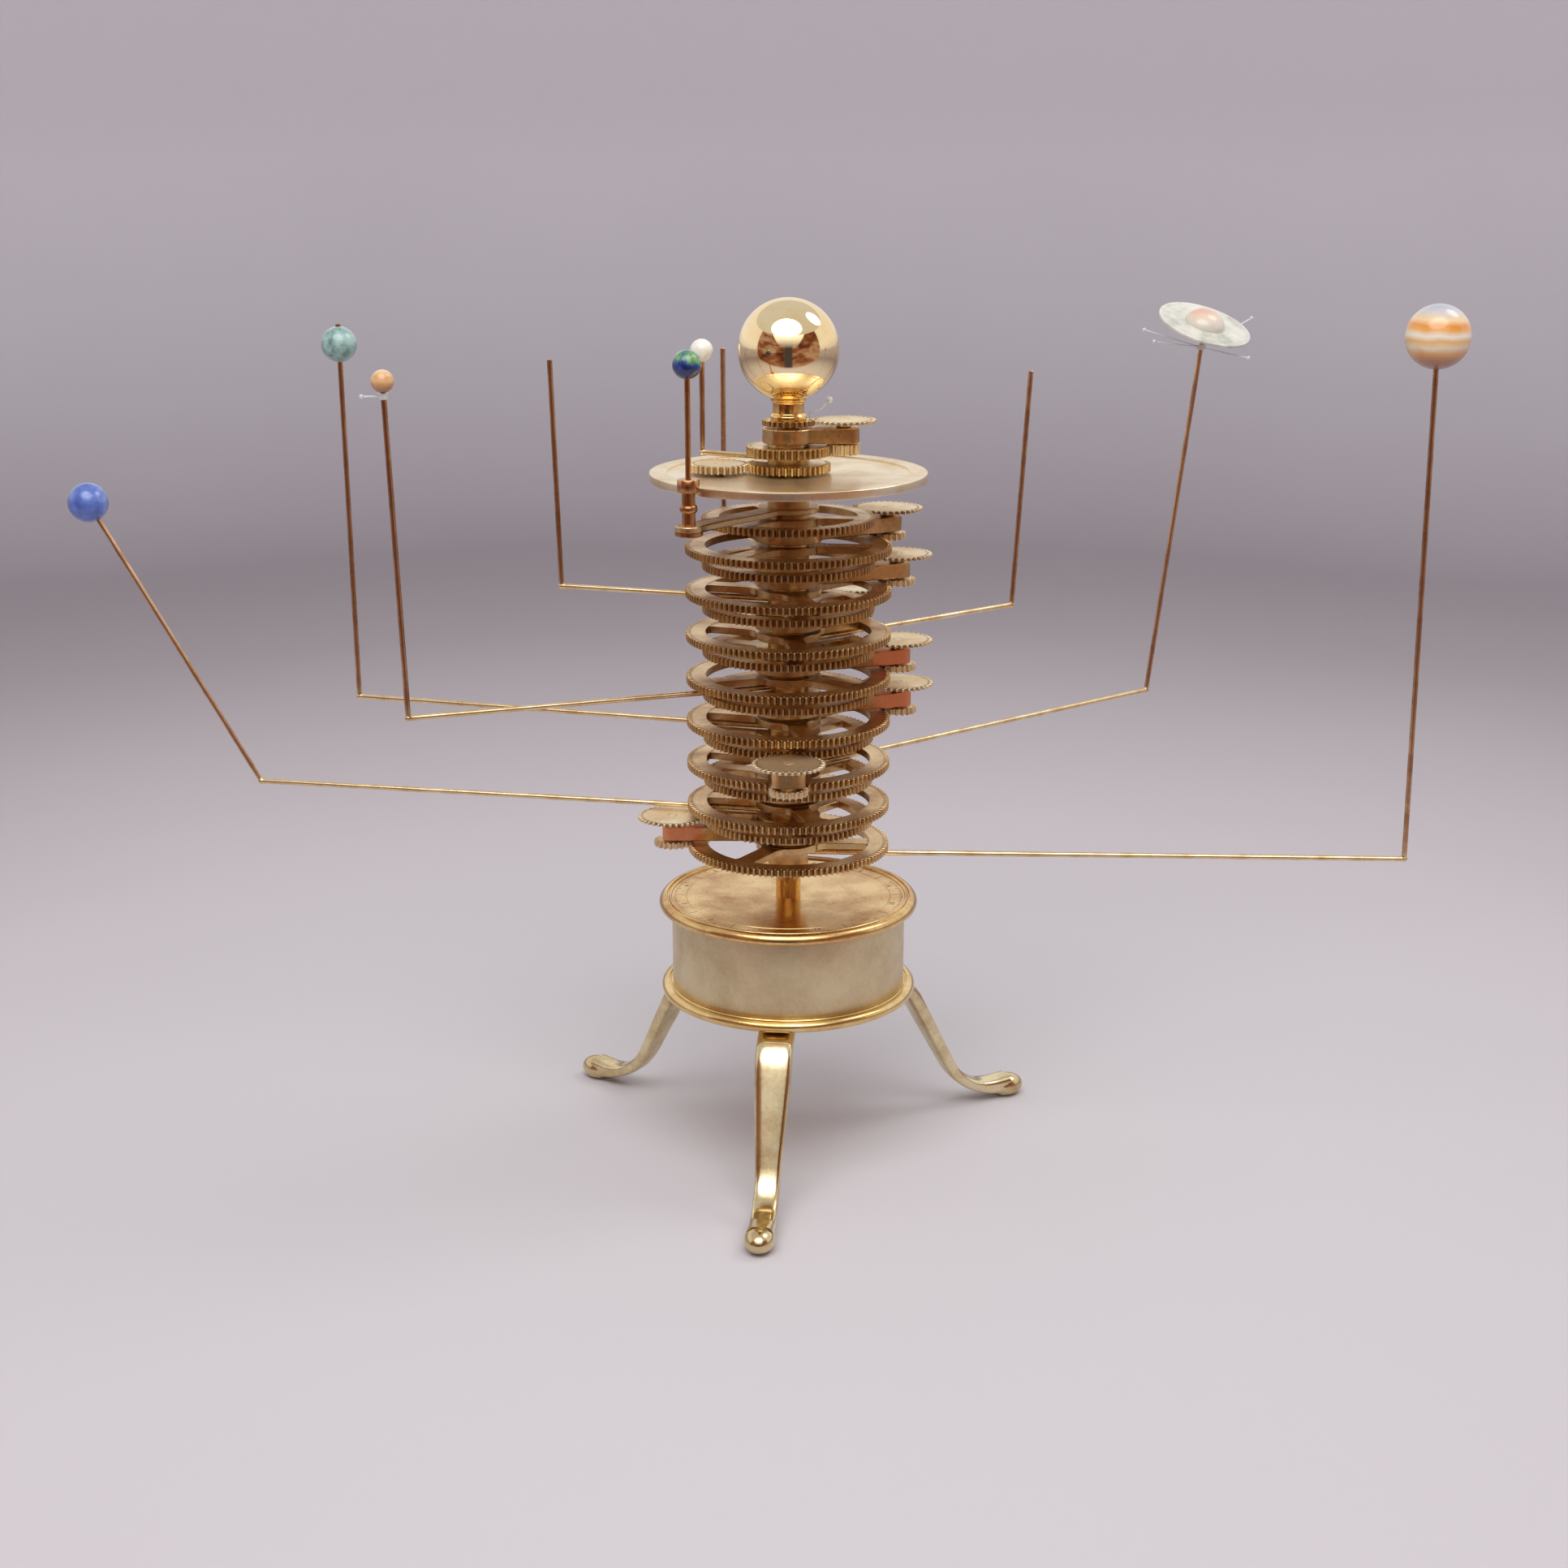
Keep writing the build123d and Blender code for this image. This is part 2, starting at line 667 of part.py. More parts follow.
def earth_rod():
    """A turned spindle: a nut under the arm, a tube, a bead and a collar, and then the thin rod."""
    arm_top = earth_arm_z + earth_arm_thick
    bead_z = arm_top + spindle_tube_height
    bead_top = bead_z + spindle_bead_height
    collar_z = bead_top + spindle_tube_height
    collar_top = collar_z + spindle_collar_height
    rod_top = earth_ball_z + socket_end(earth_ball_radius) - seat_gap
    spindle = post(spindle_nut_radius, earth_arm_z - spindle_nut_thick, earth_arm_z)
    spindle += post(spindle_neck_radius, earth_arm_z, arm_top)
    spindle += post(spindle_tube_radius, arm_top, collar_z)
    spindle += post(spindle_bead_radius, bead_z, bead_top)
    spindle += post(spindle_collar_radius, collar_z, collar_top)
    spindle += post(rod_radius, collar_top, rod_top)
    return moved(spindle, at(earth_reach, earth_azimuth, 0))


def earth_ball():
    """The Earth on its rod."""
    foot = at(earth_reach, earth_azimuth, earth_arm_z)
    return drilled_ball(foot, at(earth_reach, earth_azimuth, earth_ball_z), earth_ball_radius)


def top_plate():
    """A shallow tray on the column, bored for the arbor that passes through it."""
    plate = post(plate_radius, plate_z, plate_floor_z + plate_rim_height, column_seat)
    plate -= post(plate_radius - plate_rim_width, plate_floor_z, plate_floor_z + plate_rim_height)
    bore = post(arbor_radius + running_gap, plate_z, plate_floor_z)
    plate -= moved(bore, at(plate_idler_reach, plate_idler_azimuth, 0))
    return plate


def idler_plate():
    """The top plate's idler: a disc above the plate and a pinion under it."""
    pinion_top = plate_pinion_z + plate_gear_thick
    disc_phase = meshed_phase(plate_disc_teeth, venus_teeth, venus_arm_azimuth, plate_idler_azimuth)
    pinion_phase = meshed_phase(plate_pinion_teeth, earth_upper_teeth, earth_azimuth, plate_idler_azimuth)
    pieces = [
        gear(plate_pinion_teeth, pinion_phase, arbor_seat, plate_pinion_z, plate_gear_thick),
        gear(plate_disc_teeth, disc_phase, arbor_seat, venus_z, plate_disc_thick),
        arbor(plate_pinion_z, venus_z + plate_disc_thick, plate_z, plate_floor_z, venus_z, pinion_top),
    ]
    return [moved(piece, at(plate_idler_reach, plate_idler_azimuth, 0)) for piece in pieces]


def idler_top():
    """The top bar's idler: a disc that the Mercury gear drives, and a pinion on the Venus wheel."""
    pinion_top = venus_upper_z + venus_upper_thick + pinion_extra
    disc_z = mercury_z + (mercury_gear_thick - disc_thick) / 2
    disc_phase = meshed_phase(top_disc_teeth, mercury_teeth, 0, top_idler_azimuth)
    pinion_phase = meshed_phase(top_pinion_teeth, venus_teeth, venus_arm_azimuth, top_idler_azimuth)
    pieces = [
        gear(top_pinion_teeth, pinion_phase, arbor_seat, venus_upper_z, pinion_top - venus_upper_z),
        gear(top_disc_teeth, disc_phase, arbor_seat, disc_z, disc_thick),
        arbor(venus_upper_z, disc_z + disc_thick, top_bar_z, column_top_z, disc_z, pinion_top),
    ]
    return [moved(piece, at(top_idler_reach, top_idler_azimuth, 0)) for piece in pieces]


def mercury_gear():
    """The toothed collar on the shaft, with the boss that it turns on."""
    boss = post(mercury_boss_radius, column_top_z + end_play, mercury_z, shaft_seat)
    return gear(mercury_teeth, 0, shaft_seat, mercury_z, mercury_gear_thick) + boss


def mercury_bead():
    """A bead on a fine bent wire, which stands in the toothed collar outside the neck."""
    foot = at(sun_wire_reach, 0, neck_z)
    corner = at(sun_wire_reach, 0, neck_z + sun_wire_corner_rise)
    knee = at(sun_wire_knee_reach, 0, neck_z + sun_wire_knee_rise)
    tip = at(sun_bead_reach, 0, sun_z + sun_bead_rise)
    solid = rod(foot, corner, wire_radius) + rod(corner, knee, wire_radius) + rod(knee, tip, wire_radius)
    for joint in (corner, knee):
        solid += moved(Sphere(wire_radius), joint)
    return solid + moved(Sphere(sun_bead_radius), tip)


def sun_neck():
    """The turned neck, hollowed on top to the Sun's curve."""
    neck = post(neck_radius, neck_z, sun_z, shaft_seat)
    return neck - Pos(0, 0, sun_z) * Sphere(sun_radius + seat_gap)


def drive_shaft():
    """The shaft, from its bearing in the base plate up into the Sun, and its drive wheel."""
    bottom = drum_z + bearing_floor + end_play
    return [
        post(shaft_radius, bottom, sun_z - sun_radius + sun_socket),
        gear(drive_wheel_teeth, 0, shaft_seat, drive_wheel_z, drive_wheel_thick),
    ]


def sun_ball():
    """The Sun, drilled for the end of the shaft."""
    bottom = sun_z - sun_radius
    return Pos(0, 0, sun_z) * Sphere(sun_radius) - post(shaft_seat, bottom, bottom + sun_socket + seat_gap)


def motor():
    """The geared motor: a can on the base plate, bored for its output shaft."""
    top = drum_z + motor_height
    can = post(motor_radius, drum_z, top)
    can -= post(motor_shaft_radius + running_gap, top - motor_shaft_depth, top)
    return moved(can, at(motor_reach, motor_azimuth, 0))


def motor_pinion():
    """The pinion on the motor's output shaft."""
    shaft_bottom = drum_z + motor_height - motor_shaft_depth + end_play
    top = drive_wheel_z + drive_wheel_thick
    phase = meshed_phase(motor_pinion_teeth, drive_wheel_teeth, 0, motor_azimuth)
    pieces = [
        gear(motor_pinion_teeth, phase, motor_shaft_radius + seat_gap, drive_wheel_z, drive_wheel_thick),
        post(motor_shaft_radius, shaft_bottom, top),
    ]
    return [moved(piece, at(motor_reach, motor_azimuth, 0)) for piece in pieces]


# All the pieces, by name

nodes = {}
for side, azimuth in leg_azimuths.items():
    nodes[f"leg_{side}"] = [Rot(0, 0, azimuth) * leg()]
nodes["leg_screws"] = [Rot(0, 0, azimuth) * leg_screw() for azimuth in leg_azimuths.values()]
nodes["base_plate"] = [base_plate()]
nodes["drum_wall"] = [post(drum_radius, drum_z, dial_z, drum_radius - drum_wall_thick)]
nodes["dial_plate"] = [dial_plate()]
nodes["column_tube"] = column_tube()
nodes["idler_bars"] = idler_bars()
nodes["top_bar"] = [
    bar(top_bar_z, top_idler_azimuth, top_idler_reach, top_bar_overhang, top_bar_boss_radius)
]
nodes["top_plate"] = [top_plate()]
nodes["motor"] = [motor()]
nodes["motor_pinion"] = motor_pinion()
nodes["drive_shaft"] = drive_shaft()
nodes["mercury_gear"] = [mercury_gear()]
nodes["mercury_bead"] = [mercury_bead()]
nodes["sun_neck"] = [sun_neck()]
nodes["sun_ball"] = [sun_ball()]
nodes["venus_wheel"] = venus_wheel()
nodes["venus_arm"] = [venus_arm()]
nodes["white_ball"] = [drilled_ball(*venus_points()[1:], white_ball_radius)]
nodes["earth_wheel"] = earth_wheel()
nodes["earth_arm"] = [earth_arm()]
nodes["earth_rod"] = [earth_rod()]
nodes["earth_ball"] = [earth_ball()]
nodes["idler_top"] = idler_top()
nodes["idler_plate"] = idler_plate()
for level in range(1, level_count + 1):
    nodes[f"wheel_{level}"] = ring_wheel(level)
    nodes[f"idler_{level}"] = idler(level)
nodes["arm_1"] = [ball_arm(1, banded_ball_radius)]
nodes["arm_2"] = [ball_arm(2, blue_ball_radius)]
nodes["arm_3"] = [ball_arm(3, ringed_ball_half_height)]
nodes["arm_4"] = [pale_arm()]
nodes["arm_5"] = [ball_arm(5, tan_ball_radius)]
for level in range(6, level_count + 1):
    nodes[f"arm_{level}"] = [bent_rod(*arm_points(level))]
nodes["banded_ball"] = [drilled_ball(*arm_points(1)[1:], banded_ball_radius)]
nodes["blue_ball"] = [drilled_ball(*arm_points(2)[1:], blue_ball_radius)]
nodes["ringed_ball"] = [ringed_ball()]
nodes["ring_disc"] = [ring_disc()]
nodes["ringed_ball_moons"] = [ringed_ball_moons()]
nodes["pale_ball"] = [pale_ball()]
nodes["tan_ball"] = [drilled_ball(*arm_points(5)[1:], tan_ball_radius)]
nodes["tan_ball_moon"] = [tan_ball_moon()]

# The origin: the middle of the whole outline, on the floor
whole = Compound(children=[Compound(pieces) for pieces in nodes.values()]).bounding_box()
to_origin = Pos(-whole.center().X, -whole.center().Y, -whole.min.Z)

os.makedirs("parts", exist_ok=True)
for name, pieces in nodes.items():
    placed = [to_origin * piece for piece in pieces]
    export_step(placed[0] if len(placed) == 1 else Compound(placed), f"parts/{name}.step")
print("nodes", len(nodes), "size", whole.size, "column at", to_origin.position)
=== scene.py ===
# %% [markdown]
# # A brass orrery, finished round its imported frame
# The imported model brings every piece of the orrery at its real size: the stand, the column, the train of
# gear wheels and the bent rods with their planets. This lesson gives those pieces the surfaces that a maker
# would: turned, cut, drawn and polished brass, and painted balls. Each new piece is a surface worked out
# with numpy in the frame's own place, and it stands for the plain piece under it.

# %% Load the frame
import json

import bpy
import numpy as np
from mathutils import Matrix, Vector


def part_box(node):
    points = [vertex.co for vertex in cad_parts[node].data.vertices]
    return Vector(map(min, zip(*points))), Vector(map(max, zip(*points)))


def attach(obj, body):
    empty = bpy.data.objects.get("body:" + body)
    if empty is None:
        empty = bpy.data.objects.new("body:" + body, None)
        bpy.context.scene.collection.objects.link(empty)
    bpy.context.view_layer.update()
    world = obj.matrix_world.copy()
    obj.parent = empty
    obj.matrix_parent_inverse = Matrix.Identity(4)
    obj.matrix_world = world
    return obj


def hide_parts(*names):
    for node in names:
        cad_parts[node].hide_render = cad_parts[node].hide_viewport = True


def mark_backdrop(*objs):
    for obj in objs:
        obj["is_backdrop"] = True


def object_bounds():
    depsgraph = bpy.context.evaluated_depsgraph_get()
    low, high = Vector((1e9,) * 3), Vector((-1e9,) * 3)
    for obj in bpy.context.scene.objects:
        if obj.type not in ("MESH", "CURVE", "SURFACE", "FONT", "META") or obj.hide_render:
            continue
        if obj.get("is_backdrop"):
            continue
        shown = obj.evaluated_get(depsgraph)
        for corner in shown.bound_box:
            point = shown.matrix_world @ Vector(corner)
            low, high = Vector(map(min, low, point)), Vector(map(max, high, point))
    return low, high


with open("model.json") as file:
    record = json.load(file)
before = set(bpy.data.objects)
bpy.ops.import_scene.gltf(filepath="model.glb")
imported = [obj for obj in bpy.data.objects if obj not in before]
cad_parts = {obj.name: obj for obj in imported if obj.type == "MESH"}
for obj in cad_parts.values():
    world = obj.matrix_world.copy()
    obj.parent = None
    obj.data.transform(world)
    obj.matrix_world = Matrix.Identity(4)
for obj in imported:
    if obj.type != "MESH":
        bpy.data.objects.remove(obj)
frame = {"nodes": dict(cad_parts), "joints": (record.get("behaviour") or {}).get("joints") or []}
cad_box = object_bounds()
MM = 0.001

# %% [markdown]
# ## Where things stand
# Everything in the middle of the orrery turns on one upright axis, the column's. The frame tells where it
# is, and each joint of the record tells where its own axis is, so nothing here has to be fitted by eye.
# Turned work is then described by a radius and a height, which is how it was cut on the lathe.

# %% The column's axis, the joints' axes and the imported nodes' sizes
def corners_of(node):
    """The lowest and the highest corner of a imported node."""
    return [np.array(corner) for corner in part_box(node)]


def z_range(node):
    """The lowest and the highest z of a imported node."""
    return [corner[2] for corner in corners_of(node)]


def box_top(node):
    """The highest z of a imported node."""
    return z_range(node)[1]


def radius_of(node):
    """Half of a round node's width."""
    low, high = corners_of(node)
    return (high[0] - low[0]) / 2


column = sum(corners_of("drum_wall")) / 2 * (1, 1, 0)
drum_low, drum_high = z_range("drum_wall")
drum_radius = radius_of("drum_wall")
axis_of = {joint["child"]: np.array(joint["pos_m"]) * (1, 1, 0) for joint in frame["joints"]}
print("column at", column.round(4), "drum radius", round(drum_radius, 4))


# %% [markdown]
# ## The view
# The photograph was taken a little over head height for the object, looking 16 degrees down with a 53 mm
# lens. A camera can be found by eye, or worked out from the round parts: a circle's flattening gives the
# tilt, and the spread between near and far legs gives the distance. The second way was used here.

# %% Camera
camera_from_column = np.array([-1.8, -937.0, 432.0]) * MM
camera_pitch = 16.16
camera_lens = 53.24
film_width = 36.0


def placed(name, data):
    """A new object in the scene, at the origin."""
    made = bpy.data.objects.new(name, data)
    bpy.context.scene.collection.objects.link(made)
    return made


camera_data = bpy.data.cameras.new("camera")
camera_data.lens = camera_lens
camera_data.sensor_width = film_width
camera = placed("camera", camera_data)
camera.location = column + camera_from_column
camera.rotation_euler = (np.radians(90 - camera_pitch), 0, 0)
bpy.context.scene.camera = camera
bpy.context.scene.view_settings.view_transform = "Standard"
print("camera at", np.array(camera.location).round(3), "lens", camera_lens)


# %% [markdown]
# ## Meshes from arrays
# A shape is a grid of points: rows run along a profile or a path, and columns run round it. One function
# turns a grid into vertices and faces, another makes an object of several such shells. Which way the faces
# look is settled by the shell's signed volume, so that no shape has to be built with care for its turning.

# %% From a grid of points to a shell
no_triangles = np.zeros((0, 3), int)


def numbered(grid):
    """The number of each point of a grid, by row and column."""
    return np.arange(grid.shape[0] * grid.shape[1]).reshape(grid.shape[:2])


def quads_between(here, below):
    """Four-cornered faces between rows of numbers and the rows after them. Columns run round."""
    return np.stack([here, np.roll(here, -1, 1), np.roll(below, -1, 1), below], -1).reshape(-1, 4)


def shell(grid, poles=None):
    """Vertices, quads and triangles of a grid (rows, columns, 3). Columns run round. Rows run round too,
    unless two poles are given, which close the first and the last row with a fan."""
    index, points = numbered(grid), grid.reshape(-1, 3)
    if poles is None:
        return facing_out(points, quads_between(index, np.roll(index, -1, 0)), no_triangles)
    first, last = (np.full_like(index[0], index.size + pole) for pole in (0, 1))
    fan = np.stack([np.roll(index[0], -1), index[0], first], -1)
    tail = np.stack([index[-1], np.roll(index[-1], -1), last], -1)
    quads = quads_between(index[:-1], index[1:])
    return facing_out(np.vstack([points, poles]), quads, np.vstack([fan, tail]))


def facing_out(points, quads, triangles):
    """Turns every face round if the signed volume, the sum of a.(b x c) over the triangles, is negative."""
    split_up = np.vstack([quads[:, [0, 1, 2]], quads[:, [0, 2, 3]], triangles])
    a, b, c = (points[split_up[:, n]] - points[0] for n in range(3))
    if np.einsum("ij,ij->", a, np.cross(b, c)) < 0:
        quads, triangles = quads[:, ::-1], triangles[:, ::-1]
    return points, quads, triangles


# %% From shells to a piece that rides on its body
def seated(name, points, faces, material, body, node, smooth=None):
    """One object on its body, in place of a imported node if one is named. Edges under the smooth angle are
    shaded round, and without one the faces stay flat."""
    mesh = bpy.data.meshes.new(name)
    mesh.from_pydata(points.tolist(), [], faces)
    if smooth:
        mesh.shade_smooth()
        mesh.set_sharp_from_angle(angle=np.radians(smooth))
    mesh.materials.append(material)
    made = placed(name, mesh)
    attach(made, body)
    if node:
        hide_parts(node)
    print(name, "faces", len(faces))


def piece(name, shells, material, body, node, smooth=32):
    """One object from several shells."""
    starts = np.cumsum([0] + [len(points) for points, _, _ in shells])[:-1]
    faces = []
    for start, (_, quads, triangles) in zip(starts, shells):
        faces += (quads + start).tolist() + (triangles + start).tolist()
    seated(name, np.vstack([points for points, _, _ in shells]), faces, material, body, node, smooth)


# %% [markdown]
# ## Profiles, outlines and paths
# Three kinds of grid make nearly all of the orrery. Turned pieces carry a profile round an axis. Flat
# pieces are an outline with a small chamfer along its edges, as a file leaves it. Rods carry a circle along
# a path. Sharp corners never look right on metal, so profiles are softened first.

# %% Circles and curves
def round_angles(count):
    """Angles all the way round, evenly spaced."""
    return np.linspace(0, 2 * np.pi, count, endpoint=False)


def on_circle(radius, angles):
    """Points at some angles on a circle, or on as many circles as there are radii."""
    return np.stack([radius * np.cos(angles), radius * np.sin(angles)], -1)


def bezier(start, corner, end, t):
    """A quadratic Bezier: (1 - t)^2 start + 2 t (1 - t) corner + t^2 end."""
    return (1 - t) ** 2 * start + 2 * t * (1 - t) * corner + t**2 * end


def softened(corners, ease, steps=4):
    """A closed profile with each corner replaced by a small curve, a quadratic Bezier whose ends lie at the
    ease distance along both sides, or nearly half a side where that is shorter."""
    corners = np.array(corners, float)
    ends = []
    for side in (np.roll(corners, 1, 0) - corners, np.roll(corners, -1, 0) - corners):
        length = np.linalg.norm(side, axis=1, keepdims=True)
        ends.append(corners + side / length * np.minimum(ease, 0.45 * length))
    t = np.linspace(0, 1, steps)[None, :, None]
    return bezier(ends[0][:, None], corners[:, None], ends[1][:, None], t).reshape(-1, 2)


# %% Turned shapes
def carried_round(profile, columns):
    """A grid of points: (radius, height) pairs carried round Z."""
    angles = round_angles(columns)
    radius, height = profile[:, :1], profile[:, 1:]
    return np.stack([radius * np.cos(angles), radius * np.sin(angles), height + 0 * angles], -1)


def turned(profile, centre, columns):
    """A closed profile of (radius, height) pairs carried round an upright axis."""
    return shell(carried_round(profile, columns) + centre)


def turned_solid(profile, centre, columns=40):
    """An open profile that starts and ends on the axis, carried round it and closed with two poles."""
    ends = np.array([(0, 0, profile[0, 1]), (0, 0, profile[-1, 1])])
    return shell(carried_round(profile[1:-1], columns) + centre, ends + centre)


def ball(centre, radius, rows=48, columns=96, flatten=1.0):
    """A sphere: a half circle from pole to pole, carried round."""
    polar = np.linspace(0, np.pi, rows + 1)
    return turned_solid(radius * np.stack([np.sin(polar), flatten * np.cos(polar)], -1), centre, columns)


def sleeve(inner, outer, bottom, top, centre, ease=0.3 * MM, columns=72):
    """A turned ring with softened edges."""
    corners = [(inner, bottom), (outer, bottom), (outer, top), (inner, top)]
    return turned(softened(corners, ease), centre, columns)


# %% Flat and drawn shapes
def rotated(points, turn):
    """Points turned about Z by an angle in degrees."""
    c, s = np.cos(np.radians(turn)), np.sin(np.radians(turn))
    return points @ np.array([[c, s, 0], [-s, c, 0], [0, 0, 1]])


def flat(outline, hole, bottom, top, centre, turn=0.0, chamfer=0.15 * MM):
    """A plate: an outline round the origin, a round hole, and a chamfer on the outline's two edges. The
    chamfer moves each point inwards, square to the line between its neighbours."""
    along = np.roll(outline, -1, 0) - np.roll(outline, 1, 0)
    inwards = np.stack([-along[:, 1], along[:, 0]], -1) / np.linalg.norm(along, axis=1, keepdims=True)
    inset = outline + inwards * chamfer
    inner = outline / np.linalg.norm(outline, axis=1, keepdims=True) * hole
    rings = [(inner, bottom), (inset, bottom), (outline, bottom + chamfer),
             (outline, top - chamfer), (inset, top), (inner, top)]
    grid = np.stack([np.column_stack([ring, np.full(len(ring), z)]) for ring, z in rings])
    return shell(rotated(grid, turn) + centre)


def drawn(path, radii, across, columns=20):
    """A round section carried along a path in one plane. The section stands square to the path: across is
    the plane's normal, and the second direction is its cross product with the path's direction."""
    along = np.gradient(path, axis=0)
    along /= np.linalg.norm(along, axis=1, keepdims=True)
    side = np.cross(across, along)
    angles = round_angles(columns)[None, :, None]
    ring = np.cos(angles) * side[:, None] + np.sin(angles) * np.array(across)
    grid = path[:, None] + ring * np.array(radii)[:, None, None]
    return shell(grid, np.array([path[0], path[-1]]))


# %% [markdown]
# ## Finishes
# A metal shows almost nothing but what it reflects, so its finish lies in small things: tool marks that
# stretch the highlights, a roughness that changes from spot to spot, and a warm tarnish where fingers and
# cloths don't reach. All patterns read Object coordinates in metres, moved to the piece's own axis, so a
# turned mark really runs round its lathe axis.

# %% Materials and their nodes
def blank(name):
    """A new material, its node tree and its shader."""
    material = bpy.data.materials.new(name)
    material.use_nodes = True
    return material, material.node_tree, material.node_tree.nodes["Principled BSDF"]


def feed(tree, node, inputs):
    """Links each input to the socket given for it, or sets it to the value given."""
    for name, value in inputs.items():
        if isinstance(value, bpy.types.NodeSocket):
            tree.links.new(value, node.inputs[name])
        else:
            node.inputs[name].default_value = value


def add(tree, kind, inputs, output=0, **settings):
    """Adds a node, feeds it, and returns one of its outputs."""
    made = tree.nodes.new("ShaderNode" + kind)
    for key, value in settings.items():
        setattr(made, key, value)
    feed(tree, made, inputs)
    return made.outputs[output]


def tone(red, green, blue):
    """A colour as a picture editor shows it, 0 to 255, in the linear values that shaders take."""
    s = np.array([red, green, blue]) / 255
    return (*np.where(s <= 0.04045, s / 12.92, ((s + 0.055) / 1.055) ** 2.4), 1.0)


# %% Places
def from_point(tree, centre):
    """Object coordinates, measured from a point."""
    coordinates = tree.nodes.new("ShaderNodeTexCoord").outputs["Object"]
    return add(tree, "Mapping", {"Vector": coordinates, "Location": [-c for c in centre]})


def split(tree, place):
    """The x, y and z of a place."""
    made = tree.nodes.new("ShaderNodeSeparateXYZ")
    tree.links.new(place, made.inputs[0])
    return made.outputs


def stretched(tree, place, factors):
    """A place with each coordinate multiplied by its own factor."""
    return add(tree, "VectorMath", {0: place, 1: factors}, operation="MULTIPLY")


def off_axis(tree, place):
    """How far a place is from the upright axis: the length of its x and y."""
    return add(tree, "VectorMath", {0: stretched(tree, place, (1, 1, 0))}, "Value", operation="LENGTH")


# %% Numbers and colours
def math(tree, operation, first, second=0.0):
    """One arithmetic node."""
    return add(tree, "Math", {0: first, 1: second}, operation=operation)


def noise(tree, vector, scale, detail=3.0, roughness=0.55):
    """A cloud of smooth noise, about 0.5 in the middle. Scale is in features per metre."""
    sockets = {"Vector": vector, "Scale": scale, "Detail": detail, "Roughness": roughness}
    return add(tree, "TexNoise", sockets)


def spread(tree, value, low, high, new_low=0.0, new_high=1.0):
    """A value carried from one range to another, and held at its ends."""
    return add(tree, "MapRange", {0: value, 1: low, 2: high, 3: new_low, 4: new_high})


def mixed(tree, share, first, second):
    """Two colours mixed by a share. Of the node's many sockets, the colours are 6, 7 and output 2."""
    return add(tree, "Mix", {0: share, 6: first, 7: second}, 2, data_type="RGBA")


def ramp(tree, value, stops):
    """A colour that runs through the stops, each a place from 0 to 1 and a tone."""
    made = tree.nodes.new("ShaderNodeValToRGB")
    tree.links.new(value, made.inputs[0])
    elements = made.color_ramp.elements
    while len(elements) < len(stops):
        elements.new(0.5)
    for element, (place, *shade) in zip(elements, stops):
        element.position = place
        element.color = tone(*shade)
    return made.outputs[0]


# %% Brass
root_shade_width = 0.9 * MM


def brass(name, centre, light, dark, smooth, rough, marks=900.0, depth=0.02, root_shade_radii=()):
    """Lathe turned or cut brass. Noise of (radius, height) gives rings of tool marks, a slower cloud gives
    tarnish from light to dark, and the roughness follows it from smooth to rough. Each radius given for the
    roots adds a dark ring there: painted shade in the roots of teeth."""
    material, tree, shader = blank(name)
    place = from_point(tree, centre)
    radius = off_axis(tree, place)
    lathe = add(tree, "CombineXYZ", {0: math(tree, "MULTIPLY", radius, marks),
                                     1: math(tree, "MULTIPLY", split(tree, place)[2], marks)})
    rings = noise(tree, lathe, 1.0, 4.0)
    cloud = noise(tree, place, 55.0, 5.0, 0.6)
    specks = noise(tree, place, 700.0, 2.0)
    tarnish = spread(tree, math(tree, "ADD", cloud, math(tree, "MULTIPLY", specks, 0.25)), 0.5, 0.85)
    colour = mixed(tree, tarnish, tone(*light), tone(*dark))
    # Painted shade: a dark ring at each radius given, in the roots of the teeth, made uneven by the specks.
    for ring in root_shade_radii:
        off = math(tree, "ABSOLUTE", math(tree, "SUBTRACT", radius, ring))
        share = spread(tree, off, 0.0, root_shade_width, 0.75, 0.0)
        share = math(tree, "MULTIPLY", share, spread(tree, specks, 0.3, 0.7, 0.5, 1.0))
        colour = mixed(tree, share, colour, tone(72, 46, 22))
    wear = math(tree, "ADD", cloud, math(tree, "MULTIPLY", rings, 0.4))
    feed(tree, shader, {
        "Metallic": 1.0,
        "Base Color": colour,
        "Roughness": spread(tree, wear, 0.45, 0.95, smooth, rough),
        "Normal": add(tree, "Bump", {"Height": rings, "Strength": 0.35, "Distance": depth * MM}),
    })
    return material


# %% [markdown]
# ## Floor, backdrop and light
# The object stands on a pale sheet that sweeps up behind it. A flat wall would hide the object in views from
# behind, so the sheet here is a wide round bowl with the orrery in its middle. Its tone is painted darker
# where the floor meets the sweep and lighter again up the sweep: painted shade. Polished brass needs
# something dark to reflect too, or it looks like plastic. In mirror rays alone, the front of the bowl glows
# with a painted reflection of a warm brown room with a dark stand in the middle and a white umbrella above,
# and its upper part glows as a bright painted ceiling, which all flat tops reflect.

# %% The round sweep
floor_radius = 1.3
sweep_radius = 0.45
wall_height = 1.6


def sweep_profile():
    """The floor's radius, a quarter circle and the wall, as (radius, height) pairs."""
    floor = np.stack([np.linspace(0.02, floor_radius, 12), np.zeros(12)], -1)
    bend = np.linspace(0, np.pi / 2, 17)[1:]
    curve = np.stack([floor_radius + sweep_radius * np.sin(bend), sweep_radius * (1 - np.cos(bend))], -1)
    return np.vstack([floor, curve, [(floor_radius + sweep_radius, wall_height)]])


